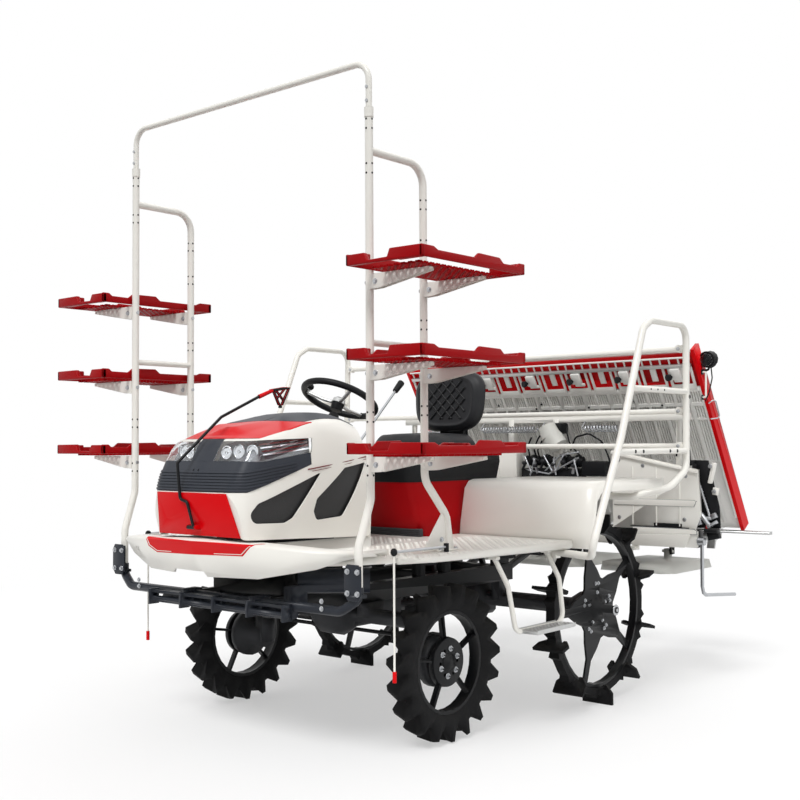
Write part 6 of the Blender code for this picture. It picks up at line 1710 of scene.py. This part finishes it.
def add_spring(bm, start, end, radius, thick, turns, paint=0):
    """A coiled spring between two places."""
    start, end = Vector(start), Vector(end)
    way = (end - start).normalized()
    side = way.orthogonal().normalized()
    other = way.cross(side)
    points = [start - way * 0.012]
    for k in range(turns * 10 + 1):
        turn = 2 * math.pi * k / 10
        centre = start + (end - start) * k / (turns * 10)
        points.append(centre + (side * math.cos(turn) + other * math.sin(turn)) * radius)
    points.append(end + way * 0.012)
    add_pipe(bm, [tuple(point) for point in points], thick, rings=2, paint=paint)


bm = bmesh.new()
for x0, x1 in SPRINGS_X:
    turns = int((x1 - x0) / SPRING_PITCH)
    add_spring(bm, (x0, SPRING_Y, SPRING_Z), (x1, SPRING_Y, SPRING_Z), SPRING_R, SPRING_WIRE, turns)
    for x, way in ((x0 - 0.012, -1), (x1 + 0.012, 1)):
        hook_x = x + way * 0.018
        add_pipe(bm, [(x, SPRING_Y, SPRING_Z), (hook_x, 1.562, SPRING_Z), (hook_x, 1.600, 1.342),
                      (hook_x, 1.612, 1.348)], 0.0034, 0.012, rings=3)
show("tray_springs", bm, "planter", ["zinc_steel"], 40.0)
print(len(SPRINGS_X), "springs")

# %% [markdown]
# Between the tray and the deck sits the planter's drive: a black gear case with a shaft and
# collars, silver control levers, and cables in black sleeves. Each cable is a short length of
# something flexible that is held at both ends, so it is a smooth pipe from one to the other.

# %% Planter drive
# each lever: x, height and lean
LEVERS = ((-0.040, 1.120, 0.05), (0.030, 1.105, -0.03), (0.085, 1.130, 0.06), (0.150, 1.110, 0.02),
          (0.215, 1.125, -0.05), (0.280, 1.105, 0.03))
CABLES = (
    [(0.010, 1.640, 1.110), (0.010, 1.590, 1.200), (0.055, 1.575, 1.265), (0.100, 1.585, 1.300),
     (0.130, 1.590, 1.330)],
    [(0.030, 1.640, 1.110), (0.036, 1.585, 1.190), (0.080, 1.570, 1.245), (0.140, 1.580, 1.290)],
    [(0.250, 1.590, 1.190), (0.300, 1.560, 1.262), (0.390, 1.550, 1.280), (0.465, 1.560, 1.235),
     (0.492, 1.580, 1.150), (0.496, 1.6000, 1.080)],
    [(0.230, 1.590, 1.320), (0.246, 1.560, 1.285), (0.262, 1.560, 1.225), (0.300, 1.620, 1.150)],
    [(-0.040, 1.640, 1.260), (-0.030, 1.590, 1.215), (-0.020, 1.600, 1.130)],
    [(0.560, 1.600, 1.320), (0.556, 1.575, 1.240), (0.552, 1.585, 1.170)],
    [(0.880, 1.586, 1.160), (0.905, 1.560, 1.240), (0.955, 1.580, 1.200), (0.952, 1.590, 1.120)],
)
bm = bmesh.new()
add_block(bm, (0.150, 0.110, 0.080), (0.3825, 1.655, 1.090), 0.008)
add_block(bm, (0.360, 0.120, 0.120), (0.100, 1.650, 1.030), 0.012)
add_block(bm, (0.140, 0.100, 0.300), (0.020, 1.660, 0.920), 0.010)
add_rod(bm, (-0.060, 1.640, 1.130), (0.300, 1.640, 1.130), 0.026, 24, chamfer=0.003)
for x in (-0.030, 0.060, 0.190, 0.260):
    add_rod(bm, (x, 1.640, 1.130), (x + 0.020, 1.640, 1.130), 0.036, 24, chamfer=0.003)
for k, (x, z, lean) in enumerate(LEVERS):
    add_block(bm, (0.010, 0.016, 0.090), (x, 1.578, z), 0.003, turn=Matrix.Rotation(lean * 9, 3, "Y"),
              paint=1 if k % 2 else 2)
    add_pipe(bm, [(x, 1.600, z + 0.030), (x, 1.570, z + 0.040), (x + lean, 1.565, z - 0.055)], 0.0045, 0.01,
             paint=1, rings=3)
    add_rod(bm, (x - 0.012, 1.570, z), (x + 0.012, 1.570, z), 0.010, 14, paint=2, chamfer=0.002)
add_pipe(bm, [(-0.070, 1.600, 1.085), (0.120, 1.572, 1.060), (0.310, 1.572, 1.150)], 0.0050, 0.02, paint=1,
         rings=3)
add_pipe(bm, [(0.060, 1.600, 1.060), (0.200, 1.566, 1.165), (0.300, 1.600, 1.180)], 0.0050, 0.02, paint=1,
         rings=3)
for path in CABLES:
    add_pipe(bm, path, 0.0048, 0.05, paint=0, rings=3)
# the white housing of the levelling motor
shoulder = (0.160, 1.545, 1.262)
add_rod(bm, (0.128, 1.545, 1.322), shoulder, 0.050, 32, end_radius=0.058, paint=3)
add_rod(bm, shoulder, (0.205, 1.545, 1.212), 0.058, 32, end_radius=0.052, paint=3)
add_block(bm, (0.070, 0.090, 0.060), (0.178, 1.590, 1.310), 0.012, paint=0)
show("planter_drive", bm, "planter", ["black_moulded", "zinc_steel", "dark_casting", "pale_moulded"], 40.0)
print(len(LEVERS), "levers and", len(CABLES), "cables")

# %% [markdown]
# White pressed covers close the planting unit towards the deck, with folded ribs, a grey band
# and a long slot; the slot is two thin black strips, painted shade for its dark opening. One
# more box closes its middle.

# %% Drive covers
COVER_Y = 1.5635


def sided(side, line):
    """An outline drawn for the left end, mirrored for the right."""
    return [(side * u, v) for u, v in line]


bm = bmesh.new()
for side, name in SIDES:
    for x in (0.640, 0.775, 0.905):
        add_block(bm, (0.007, 0.006, 0.300), (side * x, COVER_Y - 0.001, 0.955), 0.002)
    band = [(0.530, 0.905), (0.985, 0.905), (1.000, 0.935), (0.985, 0.940), (0.530, 0.940)]
    add_outline(bm, sided(side, band), 0.008, "XZ", COVER_Y - 0.002, paint=1, edge=0.002)
    hood = [(0.520, 1.186), (1.004, 1.088), (1.004, 1.074), (0.520, 1.170)]
    add_outline(bm, sided(side, hood), 0.018, "XZ", COVER_Y - 0.006, edge=0.003)
    for x, z in ((0.560, 1.140), (0.700, 1.110), (0.940, 1.060), (0.560, 0.840), (0.930, 0.840)):
        hex_bolt(bm, (side * x, COVER_Y, z), (0, -1, 0), 0.012, 0.005, paint=2)
    # two thin black strips for the long slot: painted shade of its opening
    add_block(bm, (0.156, 0.004, 0.018), (side * 0.838, COVER_Y - 0.001, 0.809), 0.002, paint=3)
    add_block(bm, (0.330, 0.003, 0.004), (side * 0.790, COVER_Y - 0.001, 0.798), 0.001, paint=3)
    lower = [(0.640, 0.796), (0.985, 0.796), (1.002, 0.787), (1.002, 0.767), (0.640, 0.755)]
    add_outline(bm, sided(side, lower), 0.012, "XZ", COVER_Y - 0.004, paint=1, edge=0.003)
    apron = [(0.640, 0.757), (0.964, 0.768), (0.964, 0.757), (0.936, 0.700), (0.650, 0.698)]
    add_outline(bm, sided(side, apron), 0.010, "XZ", COVER_Y - 0.009, edge=0.003)
line = [(-0.340, 0.960), (-0.095, 0.960), (-0.095, 1.172), (-0.125, 1.180), (-0.340, 1.176)]
add_outline(bm, line, 0.060, "XZ", 1.600, edge=0.006)
add_block(bm, (0.005, 0.006, 0.200), (-0.215, 1.569, 1.070), 0.002)
add_block(bm, (0.030, 0.050, 0.060), (-0.110, 1.5980, 0.945), 0.004, paint=3)
show("drive_covers", bm, "planter", ["white_enamel", "lip_grey", "zinc_steel", "black_moulded"], 35.0)
print("covers in the plane y", COVER_Y)

# %% [markdown]
# Outside the covers a black plate closes each end of the planting unit. A threaded rod sets
# the tray's height there, and a few cranks and brackets carry the drive across.

# %% Ends of the planting unit
# rods and cranks: start, end, radius, finish
CRANKS = (((0.962, 1.592, 1.140), (0.962, 1.592, 1.112), 0.012, 0),
          ((0.990, 1.590, 0.850), (1.066, 1.590, 0.850), 0.010, 1),
          ((1.010, 1.585, 0.872), (1.054, 1.585, 0.812), 0.012, 1),
          ((1.054, 1.585, 0.812), (1.094, 1.590, 0.836), 0.009, 1),
          ((1.030, 1.580, 0.790), (1.100, 1.580, 0.790), 0.013, 0))
# brackets: middle, size, lean in degrees, finish
BRACKETS = (((0.990, 1.592, 0.838), (0.040, 0.030, 0.050), 20, 1),
            ((1.068, 1.597, 1.075), (0.018, 0.024, 0.105), -14, 2),
            ((1.085, 1.597, 0.985), (0.026, 0.020, 0.036), -10, 2),
            ((1.076, 1.590, 0.862), (0.030, 0.020, 0.026), 25, 1),
            ((1.046, 1.582, 0.800), (0.012, 0.018, 0.032), 0, 3),
            ((1.070, 1.600, 0.770), (0.060, 0.030, 0.050), 12, 0))
THREADS = 16
bm = bmesh.new()
for side, name in SIDES:
    plate = [(0.965, 1.140), (1.040, 1.138), (1.096, 0.905), (1.100, 0.800), (0.975, 0.800), (0.965, 0.900)]
    add_outline(bm, sided(side, plate), 0.006, "XZ", 1.615, edge=0.001)
    for z in (1.110, 0.870):
        add_block(bm, (0.022, 0.036, 0.022), (side * 0.978, 1.598, z), 0.002)
    add_rod(bm, (side * 0.962, 1.598, 1.128), (side * 1.052, 1.598, 0.852), 0.0062, 16, paint=1)
    first, last = Vector((side * 0.972, 1.598, 1.0973)), Vector((side * 1.048, 1.598, 0.8643))
    for k in range(THREADS):
        start = first.lerp(last, k / THREADS)
        add_rod(bm, start, start + Vector((side * 0.0015, 0.0, -0.0046)), 0.0078, 14, paint=1)
    for start, end, radius, paint in CRANKS:
        add_rod(bm, (side * start[0], *start[1:]), (side * end[0], *end[1:]), radius, 18, paint=paint,
                chamfer=0.002)
    for (x, y, z), size, lean, paint in BRACKETS:
        add_block(bm, size, (side * x, y, z), 0.002,
                  turn=Matrix.Rotation(math.radians(-side * lean), 3, "Y"), paint=paint)
    for x, z in ((1.010, 0.872), (1.054, 0.812), (1.068, 1.110), (1.085, 0.985), (0.990, 0.838)):
        hex_bolt(bm, (side * x, 1.574, z), (0, -1, 0), 0.013, 0.007, paint=1)
show("drive_ends", bm, "planter", ["black_moulded", "zinc_steel", "white_enamel", "red_enamel"], 35.0)
print(len(CRANKS), "cranks and", len(BRACKETS), "brackets at each end")

# %% [markdown]
# The deck's plate is pressed with a pattern of small diamonds against slipping. Each diamond
# is a low pyramid: a cone of four sides, stretched and turned.

# %% Deck grip
GRIP_X, GRIP_Y = 0.0285, 0.031


def add_diamond(bm, x, y, way):
    """A low pyramid on the deck, stretched one way and turned by 45 degrees."""
    new = bmesh.ops.create_cone(bm, cap_ends=True, segments=4, radius1=0.0105, radius2=0.0045,
                                depth=0.0026)["verts"]
    bmesh.ops.scale(bm, vec=(0.55, 1.0, 1.0), verts=new)
    bmesh.ops.rotate(bm, matrix=Matrix.Rotation(math.radians(45 * way), 3, "Z"), verts=new)
    bmesh.ops.translate(bm, vec=at(x, y, DECK_TOP + 0.0005), verts=new)


bm = bmesh.new()
for side, name in SIDES:
    for row in range(32):
        for k in range(17):
            x, y = side * (0.395 + GRIP_X * k), -0.470 + GRIP_Y * row
            under_post = abs(abs(x) - RACK_X) < 0.045 and -0.30 < y < -0.04
            if abs(x) <= 0.860 and not under_post:
                add_diamond(bm, x, y, 1 if (row + k) % 2 else -1)
for row in range(11):
    for k in range(22):
        add_diamond(bm, -0.300 + GRIP_X * k, -0.120 + GRIP_Y * row, 1 if (row + k) % 2 else -1)
show("deck_grip", bm, "chassis", ["white_enamel"], 20.0)
print("deck grip in rows", GRIP_Y, "m apart")

# %% [markdown]
# At the foot of the seat base lies a ribbed toe board of black rubber.

# %% Toe board
bm = bmesh.new()
add_block(bm, (0.470, 0.020, 0.036), (0.0, 0.3270, 0.8190), 0.004)
for k in range(4):
    add_block(bm, (0.460, 0.006, 0.004), (0.0, 0.3160, 0.8070 + 0.008 * k), 0.0012)
show("toe_board", bm, "chassis", ["grip_pad"], 35.0)
print("toe board with four ribs")

# %% [markdown]
# Under the apron runs the rack carrier. Four dark rollers turn on its lower rod, between
# plates, and a clamp plate with four bolts holds each rack's foot.

# %% Carrier trim
bm = bmesh.new()
ROLLERS, ROLLER_STEP, ROLLER_R = 4, 0.205, 0.0205
ROLLER_Y, ROLLER_Z = -0.645, 0.576
for k in range(ROLLERS):
    x0 = (k - ROLLERS / 2) * ROLLER_STEP + 0.012
    x1 = (k + 1 - ROLLERS / 2) * ROLLER_STEP - 0.012
    add_rod(bm, (x0, ROLLER_Y, ROLLER_Z), (x1, ROLLER_Y, ROLLER_Z), ROLLER_R, 28, chamfer=0.002)
    for x in (x0 + 0.060, x1 - 0.060):
        add_rod(bm, (x - 0.004, ROLLER_Y, ROLLER_Z), (x + 0.004, ROLLER_Y, ROLLER_Z), ROLLER_R + 0.001, 28)
for side, name in SIDES:
    x = side * FOOT_X
    plate_line = [(x - 0.044, 0.676), (x - 0.026, 0.652), (x + 0.026, 0.652), (x + 0.040, 0.676),
                  (x + 0.040, 0.768), (x + 0.026, 0.786), (x - 0.030, 0.786), (x - 0.044, 0.764)]
    add_outline(bm, plate_line, 0.006, "XZ", -0.6580, edge=0.0018)
    for dx, dz in ((-0.026, 0.680), (0.024, 0.680), (-0.026, 0.760), (0.024, 0.760)):
        add_rod(bm, (x + dx, -0.6610, dz), (x + dx, -0.6625, dz), 0.0105, 20, paint=1)
        hex_bolt(bm, (x + dx, -0.6625, dz), (0, -1, 0), 0.013, 0.008, paint=1)
    for z in (0.640, 0.612):
        hex_bolt(bm, (side * 0.560, -0.6650, z), (0, -1, 0), 0.012, 0.006, paint=1)
show("carrier_trim", bm, "chassis", ["carrier_blue_black", "zinc_steel"], 35.0)
print(ROLLERS, "rollers")

# %% [markdown]
# A long silver lever rises beside the seat from a black boss on the seat base, and ends in a
# black grip. It is one bent rod with two tapered ends.

# %% Side lever
bm = bmesh.new()
add_pipe(bm, [(-0.2460, 0.345, 0.985), (-0.300, 0.345, 0.985), (-0.300, 0.380, 1.140),
              (-0.300, 0.780, 1.520)], 0.0065, 0.03, rings=4)
add_rod(bm, (-0.300, 0.762, 1.503), (-0.300, 0.815, 1.553), 0.0150, 24, end_radius=0.0185, paint=1,
        chamfer=0.004)
add_rod(bm, (-0.2500, 0.345, 0.985), (-0.2700, 0.345, 0.985), 0.016, 20, paint=1, chamfer=0.002)
show("side_lever", bm, "chassis", ["zinc_steel", "black_moulded"], 40.0)
print("lever beside the seat")

# %% [markdown]
# The upper face of the tray is what one sees from behind. Each of the six lanes has low
# runners, and at its foot two toothed belts that feed the seedlings, under a rail of bent
# wire that holds them down.

# %% Front of the seedling tray
LANES, RUNNERS, TEETH = 6, 9, 14
bm = bmesh.new()
lane = 2 * TRAY_HALF / LANES
for k in range(LANES):
    x0 = -TRAY_HALF + k * lane
    for j in range(1, RUNNERS + 1):
        x = x0 + j * lane / (RUNNERS + 1)
        slope_strip(bm, x - 0.0022, x + 0.0022, 0.040, 0.745, 0.0050, 0.0085)
    for x in (x0 + lane * 0.28, x0 + lane * 0.72):
        slope_strip(bm, x - 0.034, x + 0.034, 0.765, 1.010, 0.0055, 0.0120, 1, 0.002)
        for j in range(TEETH):
            slope_strip(bm, x - 0.030, x + 0.030, 0.775 + 0.017 * j, 0.780 + 0.017 * j, 0.0120, 0.0165, 1)
    for x in (x0 + 0.020, x0 + lane - 0.020):
        add_pipe(bm, [on_slope(x, 0.560, 0.048), on_slope(x, 0.990, 0.048)], 0.0032, rings=2, paint=2)
    for along in (0.580, 0.960):
        add_pipe(bm, [on_slope(x0 + 0.006, along, 0.044), on_slope(x0 + lane - 0.006, along, 0.044)],
                 0.0032, rings=2, paint=2)
show("tray_face", bm, "tray", ["tray_white", "black_moulded", "zinc_steel"], 30.0)
print(RUNNERS, "runners, two belts and their wires in each of", LANES, "lanes")

# %% [markdown]
# Last, the number of pieces that were made is printed.

# %% Pieces
print(len(MADE), "pieces")
